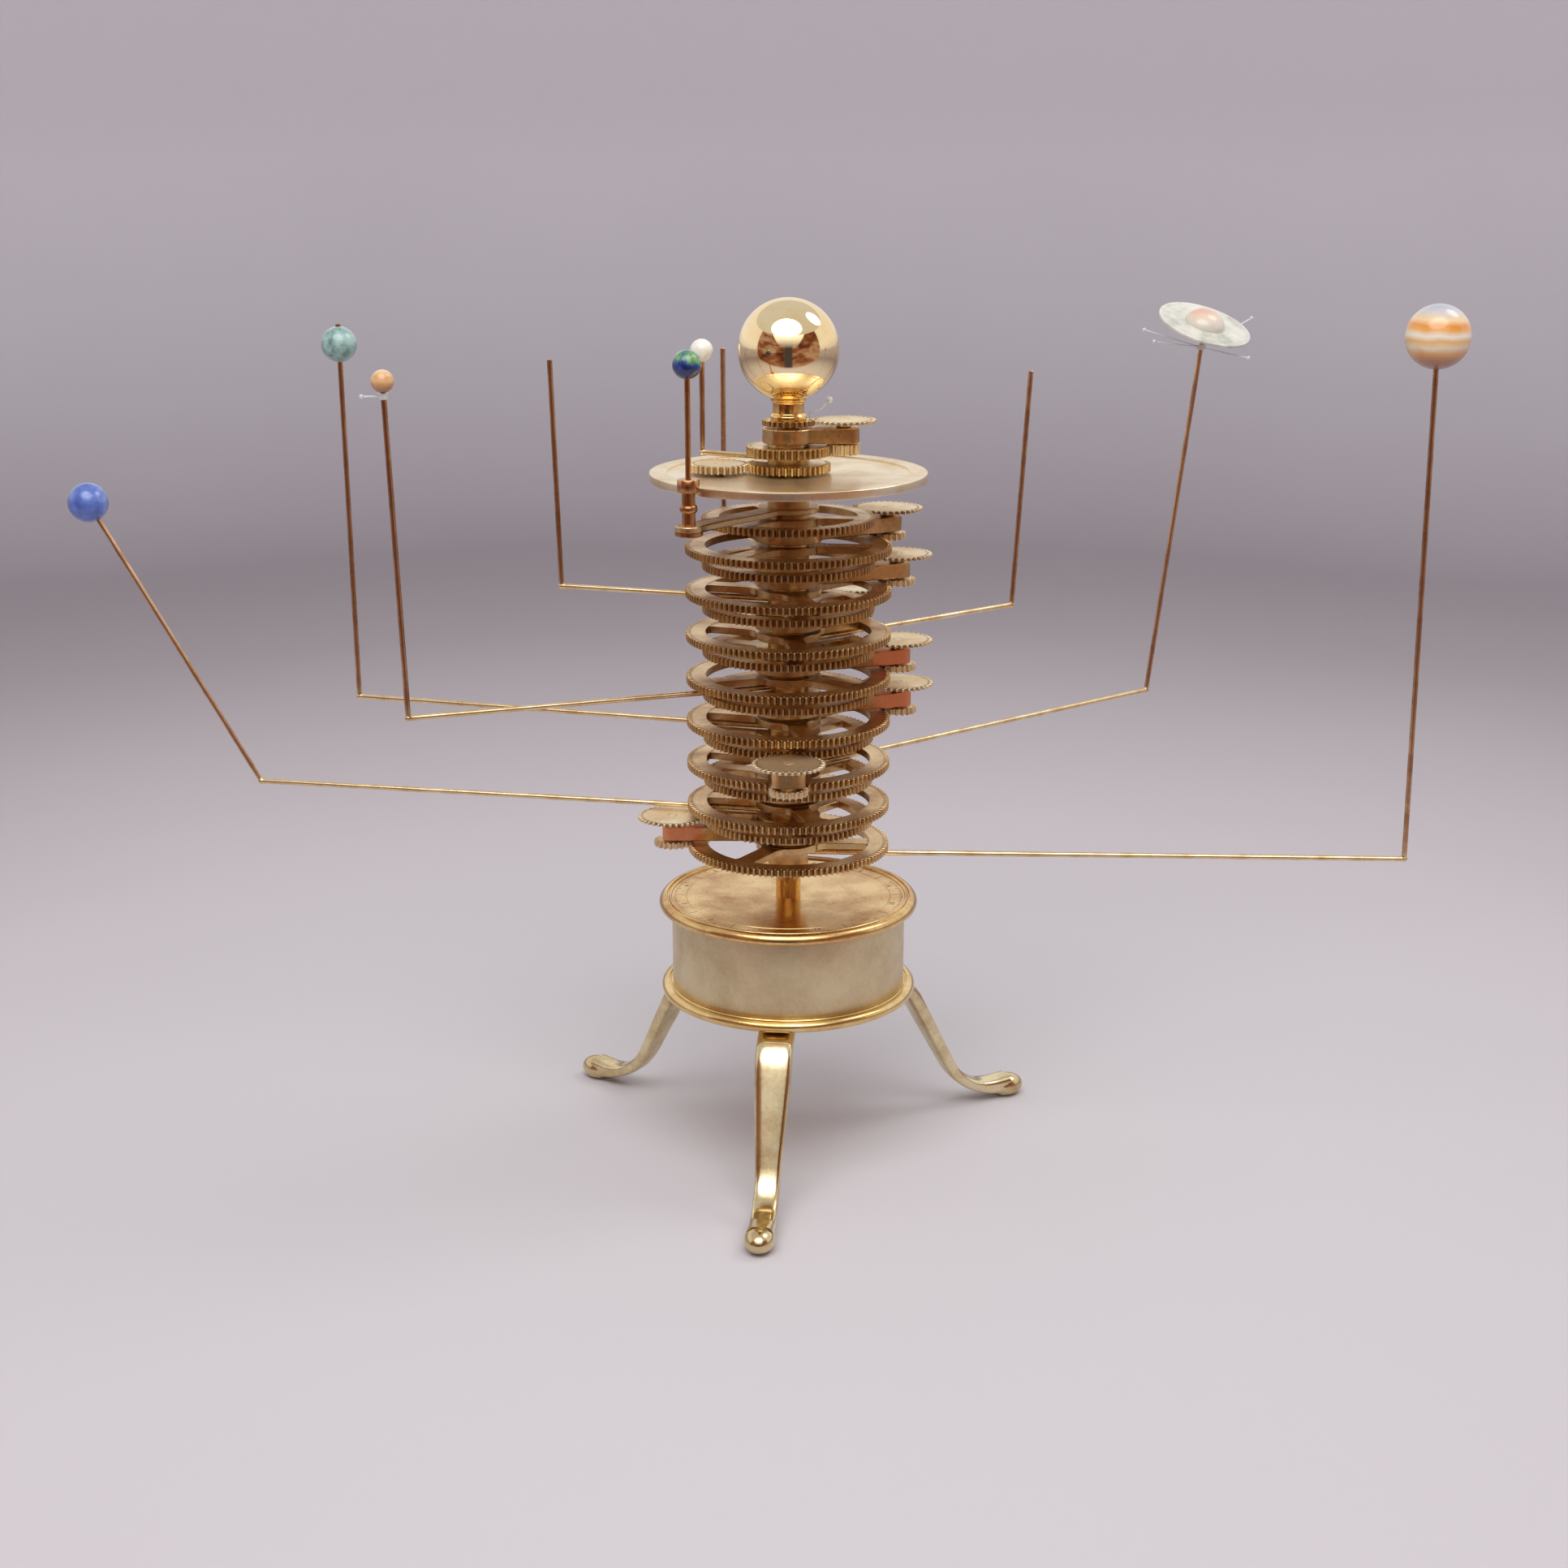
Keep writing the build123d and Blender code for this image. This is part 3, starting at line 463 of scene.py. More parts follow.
def sweep():
    """The profile carried round the column's axis, closed in the middle and left open at the top."""
    grid = carried_round(sweep_profile(), 96) + column
    index = numbered(grid)
    faces = quads_between(index[:-1], index[1:])[:, ::-1].tolist() + [index[0].tolist()]
    mesh = bpy.data.meshes.new("sweep")
    mesh.from_pydata(grid.reshape(-1, 3).tolist(), [], faces)
    mesh.shade_smooth()
    print("sweep faces", len(faces), "radius", floor_radius + sweep_radius)
    made = placed("sweep", mesh)
    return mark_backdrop(made) or made


# %% The paper's tones
tone_run = 2.5


def paper_with_painted_shade(tree, place):
    """The tone follows the distance walked from the middle, as a share of the tone run in metres: the radius
    on the floor, and the radius and the height together on the sweep. It is painted shade: darkest where
    the floor meets the sweep, and lighter again up the sweep."""
    walked = math(tree, "ADD", off_axis(tree, place), split(tree, place)[2])
    cloud = math(tree, "MULTIPLY", math(tree, "SUBTRACT", noise(tree, place, 2.5), 0.5), 0.05)
    share = math(tree, "ADD", math(tree, "MULTIPLY", walked, 1 / tone_run), cloud)
    # Painted shade: darker out to the foot of the sweep, then lighter up the sweep.
    return ramp(tree, share, [(0.0, 211, 207, 210), (0.2, 204, 198, 202), (0.3, 191, 184, 188),
                              (0.42, 172, 164, 169), (0.56, 160, 152, 158), (0.72, 191, 185, 191),
                              (0.85, 212, 206, 212)])


def painted_room_reflection(tree, place, paper):
    """A painted reflection on the bowl, and where it shows. In front of the table's edge it is a brown room:
    its middle strip is a dark stand, and a wedge that widens with the height is a white umbrella, brighter
    than white. Elsewhere the paper passes into a bright painted ceiling."""
    x, y, z = split(tree, place)
    in_front = math(tree, "MULTIPLY", y, -1.0)
    off_middle = math(tree, "DIVIDE", math(tree, "ABSOLUTE", x), math(tree, "MAXIMUM", in_front, 0.05))
    room = ramp(tree, noise(tree, stretched(tree, place, (1, 1, 2.2)), 1.1, 3.0),
                [(0.34, 84, 46, 34), (0.5, 136, 88, 66), (0.64, 178, 146, 128)])
    dark_stand = spread(tree, off_middle, 0.12, 0.2, 1.0, 0.0)
    room = mixed(tree, dark_stand, room, tone(74, 68, 70))
    wedge = math(tree, "SUBTRACT", off_middle, math(tree, "MULTIPLY", z, 0.6))
    umbrella = math(tree, "MULTIPLY", spread(tree, wedge, -0.02, -0.12), spread(tree, z, 0.6, 1.5))
    # Painted reflection of a white umbrella, glowing brighter than white.
    room = mixed(tree, umbrella, room, (1.5, 1.5, 1.5, 1.0))
    ceiling = mixed(tree, spread(tree, z, 0.3, 0.62), paper, (0.92, 0.9, 0.88, 1.0))
    front = spread(tree, in_front, 0.42, 0.52)
    where = math(tree, "MAXIMUM", front, spread(tree, z, 0.3, 0.4))
    return mixed(tree, front, ceiling, room), where


def sweep_finish():
    """Matt paper, which mirror rays alone see as a glowing painted reflection of a room and a ceiling."""
    material, tree, shader = blank("sweep_paper")
    place = from_point(tree, column)
    paper = paper_with_painted_shade(tree, place)
    feed(tree, shader, {"Base Color": paper, "Roughness": 0.9, "Specular IOR Level": 0.2})
    colour, where = painted_room_reflection(tree, place, paper)
    # The painted reflection glows, and only mirror rays see it.
    seen = add(tree, "Emission", {"Color": colour})
    share = math(tree, "MULTIPLY", add(tree, "LightPath", {}, "Is Glossy Ray"), where)
    both = add(tree, "MixShader", {0: share, 1: shader.outputs[0], 2: seen})
    feed(tree, tree.nodes["Material Output"], {"Surface": both})
    return material


backdrop = sweep()
backdrop.data.materials.append(sweep_finish())


# %% Lamps and sky
object_middle = (cad_box[0] + cad_box[1]) / 2
sky_strength = 0.66


def lamp(name, place, width, height, power):
    """An oval soft box aimed at the object's middle. Its light leaves along its own -Z."""
    data = bpy.data.lights.new(name, "AREA")
    data.shape = "ELLIPSE"
    data.size = width
    data.size_y = height
    data.energy = power
    made = placed(name, data)
    made.location = place
    aim = np.array(object_middle) - np.array(place)
    tilt, bearing = np.arccos(-aim[2] / np.linalg.norm(aim)), np.arctan2(aim[1], aim[0])
    made.rotation_euler = (tilt, 0, bearing - np.pi / 2)
    print(name, power, "W")


lamp("key_light", (-0.08, -0.85, 1.5), 1.7, 1.1, 15.5)
lamp("side_light", (1.0, 0.3, 1.5), 0.7, 0.7, 4.0)
sky = bpy.data.worlds.new("sky")
sky.use_nodes = True
background = sky.node_tree.nodes["Background"]
feed(sky.node_tree, background, {"Color": (1.0, 0.99, 0.98, 1.0), "Strength": sky_strength})
bpy.context.scene.world = sky


# %% [markdown]
# ## Gear wheels
# Every wheel here is cut with teeth of module 0.8: a wheel's pitch diameter is 0.8 mm times its number of
# teeth. A flank is an involute, the curve that a taut string's end draws as it unwinds from a circle. Only
# a few of its points show at this size. The teeth could be copies of one tooth, but as one outline the wheel
# stays a single closed shell that can be chamfered all round.

# %% The outline of a gear
tooth_module = 0.8 * MM
pressure_angle = np.radians(20.0)
backlash = 0.18 * MM
tooth_above, tooth_below = 0.9 * tooth_module, 1.25 * tooth_module


def root_of(teeth):
    """The radius at the foot of the teeth."""
    return tooth_module * teeth / 2 - tooth_below


def half_tooth(teeth, radius):
    """Half a tooth's thickness at a radius, as an angle: the involute function tan(a) - a, taken at the
    pitch circle and at the radius, tells how much the tooth has narrowed."""
    pitch = tooth_module * teeth / 2
    base = pitch * np.cos(pressure_angle)
    here = np.arccos(np.minimum(1.0, base / radius))
    at_pitch = (np.pi * tooth_module - backlash) / (4 * pitch)
    return at_pitch + (np.tan(pressure_angle) - pressure_angle) - (np.tan(here) - here)


def gear_outline(teeth, phase):
    """Twelve points for each tooth: root, flank, tip and the other flank. Angles are the teeth's middles plus
    the offsets within one tooth."""
    pitch = tooth_module * teeth / 2
    root, tip = root_of(teeth), pitch + tooth_above
    steps = np.array([root + 0.12 * MM, pitch - 0.3 * tooth_module, pitch + 0.4 * tooth_module,
                      tip - 0.1 * MM])
    half = half_tooth(teeth, steps)
    root_edge = (half[0] + np.pi / teeth) / 2
    offsets = np.concatenate([[-root_edge], -half, [-half[3] * 0.6, half[3] * 0.6], half[::-1], [root_edge]])
    radii = np.concatenate([[root], steps, [tip, tip], steps[::-1], [root]])
    middles = np.radians(phase) + 2 * np.pi * np.arange(teeth) / teeth
    return on_circle(np.tile(radii, teeth), (middles[:, None] + offsets).ravel())


def meshed(teeth, lead_teeth, lead_phase, direction):
    """The phase that brings a gear's tooth gap onto the leading gear's tooth, in a direction from it."""
    return direction + 180 + (lead_teeth * (direction - lead_phase) - 180) / teeth


def gear(teeth, phase, centre, hole, bottom, thick):
    """A plain toothed disc."""
    return flat(gear_outline(teeth, phase), hole, bottom, bottom + thick, centre)


# %% [markdown]
# A large wheel is sawn out between its rim and its middle, which leaves three spokes. Each spoke is a strip
# that widens in a small curve where it meets the rim and the middle, because a sharp inner corner would
# crack. The spokes lie a hair lower than the rim, so that the two surfaces never share a plane.

# %% Spoked wheels
wheel_thick = 3.0 * MM
centre_disc_radius = 13.5 * MM
spoke_half_width = 4.0 * MM
spoke_flare = 2.5 * MM
flare_share, flare_inset = 0.6, 0.6 * MM
spoke_recess = 0.08 * MM
spoke_ease = 0.2 * MM
spoke_overlap = 1.0 * MM
hub_radius = 8.5 * MM


def spoke(turn, inner, outer, bottom, top):
    """A strip along X, from inside the middle disc to inside the rim. Its half width grows near each end
    by share * flare * (1 - distance / flare) squared, where the distance counts from a little inside."""
    x = np.linspace(inner, outer, 17)
    near = np.minimum(x - inner, outer - x) - flare_inset
    half = spoke_half_width + spoke_flare * np.clip(1 - near / spoke_flare, 0, 1) ** 2 * flare_share
    z_low, z_high = bottom + spoke_recess, top - spoke_recess
    edge = 1 - spoke_ease / spoke_half_width
    section = np.array([(1, z_low + spoke_ease), (1, z_high - spoke_ease), (edge, z_high), (-edge, z_high),
                        (-1, z_high - spoke_ease), (-1, z_low + spoke_ease), (-edge, z_low), (edge, z_low)])
    grid = np.stack([x[:, None] + 0 * section[:, 0], half[:, None] * section[:, 0],
                     0 * x[:, None] + section[:, 1]], -1)
    ends = np.array([(end, 0, (z_low + z_high) / 2) for end in (x[0], x[-1])])
    return shell(rotated(grid, turn) + column, rotated(ends, turn) + column)


def spoked(teeth, phase, band, bottom):
    """Rim, middle disc and three spokes of one wheel."""
    top = bottom + wheel_thick
    rim_inner = root_of(teeth) - band
    middle = on_circle(centre_disc_radius, round_angles(96))
    ends = centre_disc_radius - spoke_overlap, rim_inner + spoke_overlap
    spokes = [spoke(phase + 120 * turn, *ends, bottom, top) for turn in range(3)]
    return [flat(gear_outline(teeth, phase), rim_inner, bottom, top, column),
            flat(middle, hub_radius, bottom, top, column), *spokes]


# %% [markdown]
# The wheels stand one above another at an even pitch, each turned to the bearing of its own rod. The wheel
# under the rod is the smaller one, which drives the idler below. Brass that is cut and never polished again
# goes a warm camel brown, and the roots of the teeth get a dark ring of painted shade.

# %% The eight ring wheels
arm_azimuths = (357.7, 169.0, 39.1, 164.1, 200.1, 37.8, 163.3, 112.4)
earth_azimuth = 231.1
ring_teeth, lower_teeth = 104, 87
ring_band, lower_band = 6.4 * MM, 5.5 * MM
column_radius = 5.35 * MM
hub_above, hub_below = 2.8 * MM, 8.9 * MM
lower_gear_drop = 8.0 * MM

# Both toothed rims get a ring of painted shade in their roots.
wheel_brass = brass("wheel_brass", column, (222, 188, 134), (178, 132, 80), 0.22, 0.42,
                    root_shade_radii=(root_of(ring_teeth), root_of(lower_teeth)))
wheel_middles = [box_top(f"wheel_{level}") - hub_above for level in range(1, 9)]
for level, (z, azimuth) in enumerate(zip(wheel_middles, arm_azimuths), 1):
    shells = spoked(ring_teeth, azimuth, ring_band, z - wheel_thick / 2)
    shells.append(sleeve(column_radius, hub_radius, z - hub_below, z + hub_above, column))
    if level > 1:
        shells += spoked(lower_teeth, azimuth, lower_band, z - lower_gear_drop)
    piece(f"cut_wheel_{level}", shells, wheel_brass, f"planet_{level}", f"wheel_{level}")


# %% The Earth's wheel, the two-tier wheel and the toothed collar
earth_low, earth_high = z_range("earth_wheel")
earth_upper_teeth, earth_gear_thick = 49, 3.3 * MM
piece("cut_earth_wheel", [
    gear(earth_upper_teeth, earth_azimuth, column, hub_radius, z_range("idler_plate")[0], earth_gear_thick),
    *spoked(lower_teeth, earth_azimuth, lower_band, earth_low + hub_below - lower_gear_drop),
    sleeve(column_radius, hub_radius, earth_low, earth_high, column),
], wheel_brass, "earth_group", "earth_wheel")

venus_azimuth = 152.0
venus_teeth, collar_teeth = 41, 25
venus_foot, venus_step = 0.8 * MM, 6.4 * MM
venus_lower_thick, venus_upper_thick = 3.2 * MM, 3.8 * MM
venus_low, venus_high = z_range("venus_wheel")
venus_lower = venus_low + venus_foot
venus_upper = venus_lower + venus_step
# The roots of the teeth get a ring of painted shade.
plate_brass = brass("gilt_gear_brass", column, (228, 198, 142), (190, 150, 92), 0.2, 0.4,
                    root_shade_radii=(root_of(venus_teeth), root_of(collar_teeth)))
piece("cut_venus_wheel", [
    gear(venus_teeth, venus_azimuth, column, hub_radius, venus_lower, venus_lower_thick),
    gear(venus_teeth, venus_azimuth, column, hub_radius, venus_upper, venus_upper_thick),
    sleeve(column_radius, hub_radius, venus_low, venus_high, column),
], plate_brass, "venus_group", "venus_wheel")

shaft_radius = 3.1 * MM
collar_phase, collar_gear_thick = 0.0, 2.2 * MM
collar_foot_radius, collar_sunk = 4.5 * MM, 0.1 * MM
mercury_low, mercury_high = z_range("mercury_gear")
piece("cut_mercury_gear", [
    gear(collar_teeth, collar_phase, column, shaft_radius, mercury_high - collar_gear_thick,
         collar_gear_thick),
    sleeve(shaft_radius, collar_foot_radius, mercury_low, mercury_high - collar_gear_thick + collar_sunk,
           column),
], plate_brass, "sun_shaft", "mercury_gear")


# %% [markdown]
# ## Idlers
# Each idler is a pinion under its bar and a larger disc above, on one arbor. The discs' top faces are the
# palest spots of the whole column in the photograph: they lie flat, and catch the light from above. Each
# has its own axis, so each gets its own copy of the brass, with the tool marks centred there.

# %% Idlers
arbor_radius = 2.0 * MM
arbor_ease = 0.35 * MM
arbor_below = 0.3 * MM
shoulder_radius = 3.2 * MM


def arbor(bottom, top, centre):
    """A turned pin with bevelled ends, which shows under the pinion and ends level with the disc."""
    ends = arbor_radius - arbor_ease
    profile = np.array([(0, bottom), (ends, bottom), (arbor_radius, bottom + arbor_ease),
                        (arbor_radius, top - arbor_ease), (ends, top), (0, top)])
    return turned_solid(profile, centre)


def idler(node, body, brass_name, lower, upper, collars):
    """Pinion, disc, shoulders and arbor in pale satin brass. A gear is given as teeth, phase, bottom and
    thickness, and a collar as bottom and top."""
    centre = axis_of[body]
    shells = [gear(teeth, phase, centre, arbor_radius, bottom, thick)
              for teeth, phase, bottom, thick in (lower, upper)]
    shells += [sleeve(arbor_radius, shoulder_radius, low, high, centre, 0.2 * MM) for low, high in collars]
    shells.append(arbor(lower[2] - arbor_below, upper[2] + upper[3], centre))
    # Painted light: the idlers' brass is a paler copy of the brass, for the light that falls on the flat
    # discs.
    # The disc's tooth roots get a ring of painted shade.
    pale = brass(brass_name, centre, (250, 232, 198), (222, 192, 144), 0.4, 0.58, 1300.0, 0.02,
                 (root_of(upper[0]),))
    piece("cut_" + node, shells, pale, body, node)


# %% The eight idlers between the wheels
idler_azimuths = (180.0, 100.0, 270.0, 18.0, 20.0, 54.0, 22.0, 32.0)
disc_teeth, pinion_teeth = 35, 18
disc_thick = 1.2 * MM
pinion_lift, pinion_proud = 0.9 * MM, 0.5 * MM
bar_thick = 6.0 * MM
bar_rise = 3.0 * MM
play = 0.2 * MM
for level, (z, azimuth) in enumerate(zip(wheel_middles, idler_azimuths), 1):
    node = f"idler_{level}"
    disc_bottom = box_top(node) - disc_thick
    next_phase = arm_azimuths[level] if level < 8 else earth_azimuth
    lower = (pinion_teeth, meshed(pinion_teeth, ring_teeth, arm_azimuths[level - 1], azimuth),
             z - wheel_thick / 2 + pinion_lift, wheel_thick + pinion_proud - pinion_lift)
    upper = (disc_teeth, meshed(disc_teeth, lower_teeth, next_phase, azimuth), disc_bottom, disc_thick)
    collars = [(z + wheel_thick / 2 + pinion_proud, z + bar_rise - play),
               (z + bar_rise + bar_thick + play, disc_bottom)]
    idler(node, f"idler_set_{level}", node + "_brass", lower, upper, collars)

# %% The plate's idler and the top idler
plate_low, plate_high = z_range("top_plate")
plate_idler_low, plate_idler_high = z_range("idler_plate")
plate_azimuth = 180.0
plate_pinion_teeth, plate_disc_teeth = 21, 29
plate_disc_thick = 3.0 * MM
plate_disc_low = plate_idler_high - plate_disc_thick
lower = (plate_pinion_teeth, meshed(plate_pinion_teeth, earth_upper_teeth, earth_azimuth, plate_azimuth),
         plate_idler_low, earth_gear_thick)
upper = (plate_disc_teeth, meshed(plate_disc_teeth, venus_teeth, venus_azimuth, plate_azimuth),
         plate_disc_low, plate_disc_thick)
idler("idler_plate", "plate_idler", "plate_idler_brass", lower, upper,
      [(plate_idler_low + earth_gear_thick, plate_low - play)])

top_azimuth = 5.0
top_pinion_teeth, top_disc_teeth = 15, 31
top_pinion_thick = 4.3 * MM
top_idler_low, top_idler_high = z_range("idler_top")
top_disc_low = top_idler_high - disc_thick
lower = (top_pinion_teeth, meshed(top_pinion_teeth, venus_teeth, venus_azimuth, top_azimuth),
         top_idler_low, top_pinion_thick)
upper = (top_disc_teeth, meshed(top_disc_teeth, collar_teeth, collar_phase, top_azimuth),
         top_disc_low, disc_thick)
idler("idler_top", "top_idler", "top_idler_brass", lower, upper, [(box_top("top_bar") + play, top_disc_low)])


# %% [markdown]
# ## Bars and the flat Earth arm
# The bars never turn: each is clamped on the column by its round boss and holds an idler's arbor at its far
# end. They were milled from flat stock. Seen from the column's axis the outline is a circle with one long
# tongue, so it can be written as one list of points round the axis: tongue end, one side, the boss, and
# back along the other side. Three of the bars have their outer ends tinted orange red.

# %% Outlines with a tongue
end_round = 3.2 * MM


def tongue(boss, half_width, reach, round_end=0.0):
    """Points round a boss of one radius with a tongue along X. The tongue ends square with rounded corners,
    or in a circle of the radius round_end about the reach."""
    join = np.sqrt(boss**2 - half_width**2)
    opening = np.arctan2(half_width, join)
    circle = on_circle(boss, np.linspace(opening, 2 * np.pi - opening, 49))
    if round_end:
        meet = np.sqrt(round_end**2 - half_width**2)
        wide = np.arctan2(half_width, -meet)
        tip = on_circle(round_end, np.linspace(-wide, wide, 33)) + (reach, 0)
        side = np.linspace(reach - meet, join, 9)[1:-1]
    else:
        middle = (reach - end_round, half_width - end_round)
        corner = on_circle(end_round, np.linspace(0, np.pi / 2, 7)) + middle
        tip = np.vstack([corner[::-1] * (1, -1), corner])
        side = np.linspace(reach - end_round, join, 13)[1:-1]
    upper = np.column_stack([side, np.full(len(side), half_width)])
    return np.vstack([tip, upper, circle, upper[::-1] * (1, -1)])


# %% The bars
bar_half_width = 6.8 * MM
bar_chamfer = 0.35 * MM
bar_boss, top_bar_boss = 14.0 * MM, 10.6 * MM
bar_past_arbor, top_bar_past_arbor = 4.2 * MM, 6.0 * MM
tint_start = 35 * MM


def tint_ends(material, middles, half, inner, colour):
    """Mixes a colour into a brass outside an inner radius, where the height lies within a half width of any
    of the middles."""
    tree = material.node_tree
    base = tree.nodes["Principled BSDF"].inputs["Base Color"]
    before = base.links[0].from_socket
    place = from_point(tree, column)
    height = split(tree, place)[2]
    offs = [math(tree, "ABSOLUTE", math(tree, "SUBTRACT", height, middle)) for middle in middles]
    bands = [spread(tree, off, half, half + 0.3 * MM, 0.8, 0.0) for off in offs]
    share = bands[0]
    for band in bands[1:]:
        share = math(tree, "ADD", band, share)
    share = math(tree, "MULTIPLY", share, spread(tree, off_axis(tree, place), inner, inner + 3 * MM))
    tree.links.new(mixed(tree, share, before, colour), base)


bar_brass = brass("bar_brass", column, (222, 186, 130), (170, 122, 74), 0.18, 0.4, 500.0)
tinted_bar_middles = [wheel_middles[level - 1] + bar_rise + bar_thick / 2 for level in (1, 4, 5)]
tint_ends(bar_brass, tinted_bar_middles, bar_thick / 2, tint_start, tone(232, 142, 100))
idler_reach = np.linalg.norm(axis_of["idler_set_1"] - column)
outline = tongue(bar_boss, bar_half_width, idler_reach + bar_past_arbor)
bars = [flat(outline, column_radius, z + bar_rise, z + bar_rise + bar_thick, column, azimuth, bar_chamfer)
        for z, azimuth in zip(wheel_middles, idler_azimuths)]
piece("milled_bars", bars, bar_brass, "stand", "idler_bars")

top_reach = np.linalg.norm(axis_of["top_idler"] - column)
outline = tongue(top_bar_boss, bar_half_width, top_reach + top_bar_past_arbor)
top_bar = flat(outline, column_radius, *z_range("top_bar"), column, top_azimuth, bar_chamfer)
piece("milled_top_bar", [top_bar], bar_brass, "stand", "top_bar")

# %% The Earth's arm
earth_reach = 61.5 * MM
arm_boss, arm_half_width, arm_eye, arm_chamfer = 12.5 * MM, 4.5 * MM, 5.5 * MM, 0.3 * MM
arm_low, arm_high = z_range("earth_arm")
pale_brass = brass("pale_satin_brass", column, (240, 216, 172), (206, 170, 118), 0.22, 0.42)
outline = tongue(arm_boss, arm_half_width, earth_reach, arm_eye)
piece("milled_earth_arm", [flat(outline, hub_radius, arm_low, arm_high, column, earth_azimuth, arm_chamfer)],
      pale_brass, "earth_group", "earth_arm")


# %% [markdown]
# ## Turned stand and top plate
# The drum is a short tube between two turned plates. The lower plate ends in a round bead, which is where a
# lathe shows off: a bead is simply a half circle in the profile. The lid's lip is a quarter circle, the dial
# is sunk inside it, and a bright raised ring runs round the dial.

# %% Base and drum wall
base_low, base_high = z_range("base_plate")[0], drum_low
base_radius = radius_of("base_plate")
base_hole = 0.5 * MM
line_depth = 0.35 * MM
wall = 1.5 * MM


def bead_edge(radius, bottom, top, steps=14):
    """The half circle at a plate's edge, from its underside to its top."""
    r = (top - bottom) / 2
    return on_circle(r, np.linspace(-np.pi / 2, np.pi / 2, steps)) + (radius - r, (top + bottom) / 2)


def base_profile():
    """Round the base plate: underside with a thin turned line, the bead, a shallow groove, and the inside.
    Each point is so many millimetres in from the edge, and so far from the face."""
    under = [(base_radius - inset * MM, base_low + depth)
             for inset, depth in ((6, 0), (5.6, line_depth), (5.2, 0))]
    inside = [(base_radius - inset * MM, base_high - depth)
              for inset, depth in ((3.2, 0), (3.5, line_depth), (3.9, line_depth), (4.2, 0))]
    bead = bead_edge(base_radius, base_low, base_high)
    return np.vstack([(base_hole, base_low), *under, bead, *inside, (base_hole, base_high)])


stand_brass = brass("gilt_bead_brass", column, (236, 208, 150), (206, 166, 96), 0.12, 0.28, 1400.0)
piece("turned_base", [turned(base_profile(), column, 200)], stand_brass, "stand", "base_plate")

drum_brass = brass("satin_drum_brass", column, (220, 202, 164), (198, 176, 136), 0.32, 0.44, 2600.0, 0.03)
drum = sleeve(drum_radius - wall, drum_radius, drum_low, drum_high, column, 0.2 * MM, 240)
piece("turned_drum", [drum], drum_brass, "stand", "drum_wall")


# %% Lid and top plate
lid_low, lid_high = drum_high, box_top("dial_plate")
lid_radius = radius_of("dial_plate")
lip_under, lip_over = 1.3 * MM, 2.8 * MM
dial_z = lid_high - 0.8 * MM
ring_radius, ring_half = 50.2 * MM, 0.7 * MM
groove_radii, groove_width, groove_depth = (48.6 * MM, 43.6 * MM), 0.4 * MM, 0.25 * MM


def lip_edge(radius, bottom, top, steps=10):
    """A quarter circle out of the underside, and a larger one over to the top."""
    turn = np.linspace(0, np.pi / 2, steps)
    lower = np.stack([radius - lip_under * (1 - np.sin(turn)), bottom + lip_under * (1 - np.cos(turn))], -1)
    upper = np.stack([radius - lip_over * (1 - np.cos(turn)), top - lip_over * (1 - np.sin(turn))], -1)
    return np.vstack([lower, upper])


def lid_profile():
    """Round the lid: its underside, the lip, the step down to the dial, the raised ring and two grooves."""
    ring = on_circle(ring_half, np.linspace(0, np.pi, 9)) * (1, 1.1) + (ring_radius, dial_z)
    grooves = [(radius - groove_width * step / 2, dial_z - depth)
               for radius in groove_radii for step, depth in ((0, 0), (1, groove_depth), (2, 0))]
    return np.vstack([(column_radius, lid_low), lip_edge(lid_radius, lid_low, lid_high),
                      (ring_radius + 1.5 * MM, lid_high), (ring_radius + 1.2 * MM, dial_z), ring, *grooves,
                      (column_radius, dial_z)])


dial_brass = brass("dial_brass", column, (232, 198, 138), (186, 132, 70), 0.12, 0.32, 1700.0, 0.025)
piece("turned_lid", [turned(lid_profile(), column, 240)], dial_brass, "stand", "dial_plate")

plate_radius = radius_of("top_plate")
tray_radius = plate_radius - 7.1 * MM
tray_z = plate_high - 0.8 * MM
tray = softened([(column_radius, plate_low), (plate_radius, plate_low), (plate_radius, plate_high),
                 (tray_radius, plate_high), (tray_radius, tray_z), (column_radius, tray_z)], 0.4 * MM)
tray_brass = brass("tray_brass", column, (250, 234, 204), (226, 198, 152), 0.26, 0.42, 1500.0, 0.02)
piece("turned_top_plate", [turned(tray, column, 240)], tray_brass, "stand", "top_plate")


# %% Column
column_low, column_high = z_range("column_tube")
tube_bore, tube_radius = 3.15 * MM, 5.3 * MM
foot_radius, foot_height = 12 * MM, 3 * MM
thrust_radius, thrust_height, thrust_bevel = 8 * MM, 4 * MM, 1.4 * MM
thrust_top = z_range("wheel_1")[0] - play
thrust_low = thrust_top - thrust_height
column_brass = brass("column_brass", column, (240, 196, 116), (206, 150, 78), 0.1, 0.25, 1400.0)
thrust_collar = [(tube_radius, thrust_low), (thrust_radius - thrust_bevel, thrust_low),
                 (thrust_radius, thrust_low + thrust_bevel), (thrust_radius, thrust_top),
                 (tube_radius, thrust_top)]
tube = [(tube_bore, column_low), (foot_radius, column_low), (foot_radius, column_low + foot_height),
        (tube_radius, column_low + foot_height), (tube_radius, column_high), (tube_bore, column_high)]
piece("turned_column", [turned(softened(corners, 0.3 * MM), column, 72) for corners in (tube, thrust_collar)],
      column_brass, "stand", "column_tube")


# %% [markdown]
# ## The dial's markings
# The lid carries an engraved scale, its lines filled with dark wax. It could be painted in the material, but
# real lines hold their edge in any close view. Fine strokes are small plates laid out by angle as one array,
# and the numbers are plain ones, 1 to 12, set upright to the rim and turned to meshes.

# %% Strokes
mark_rise = 0.03 * MM


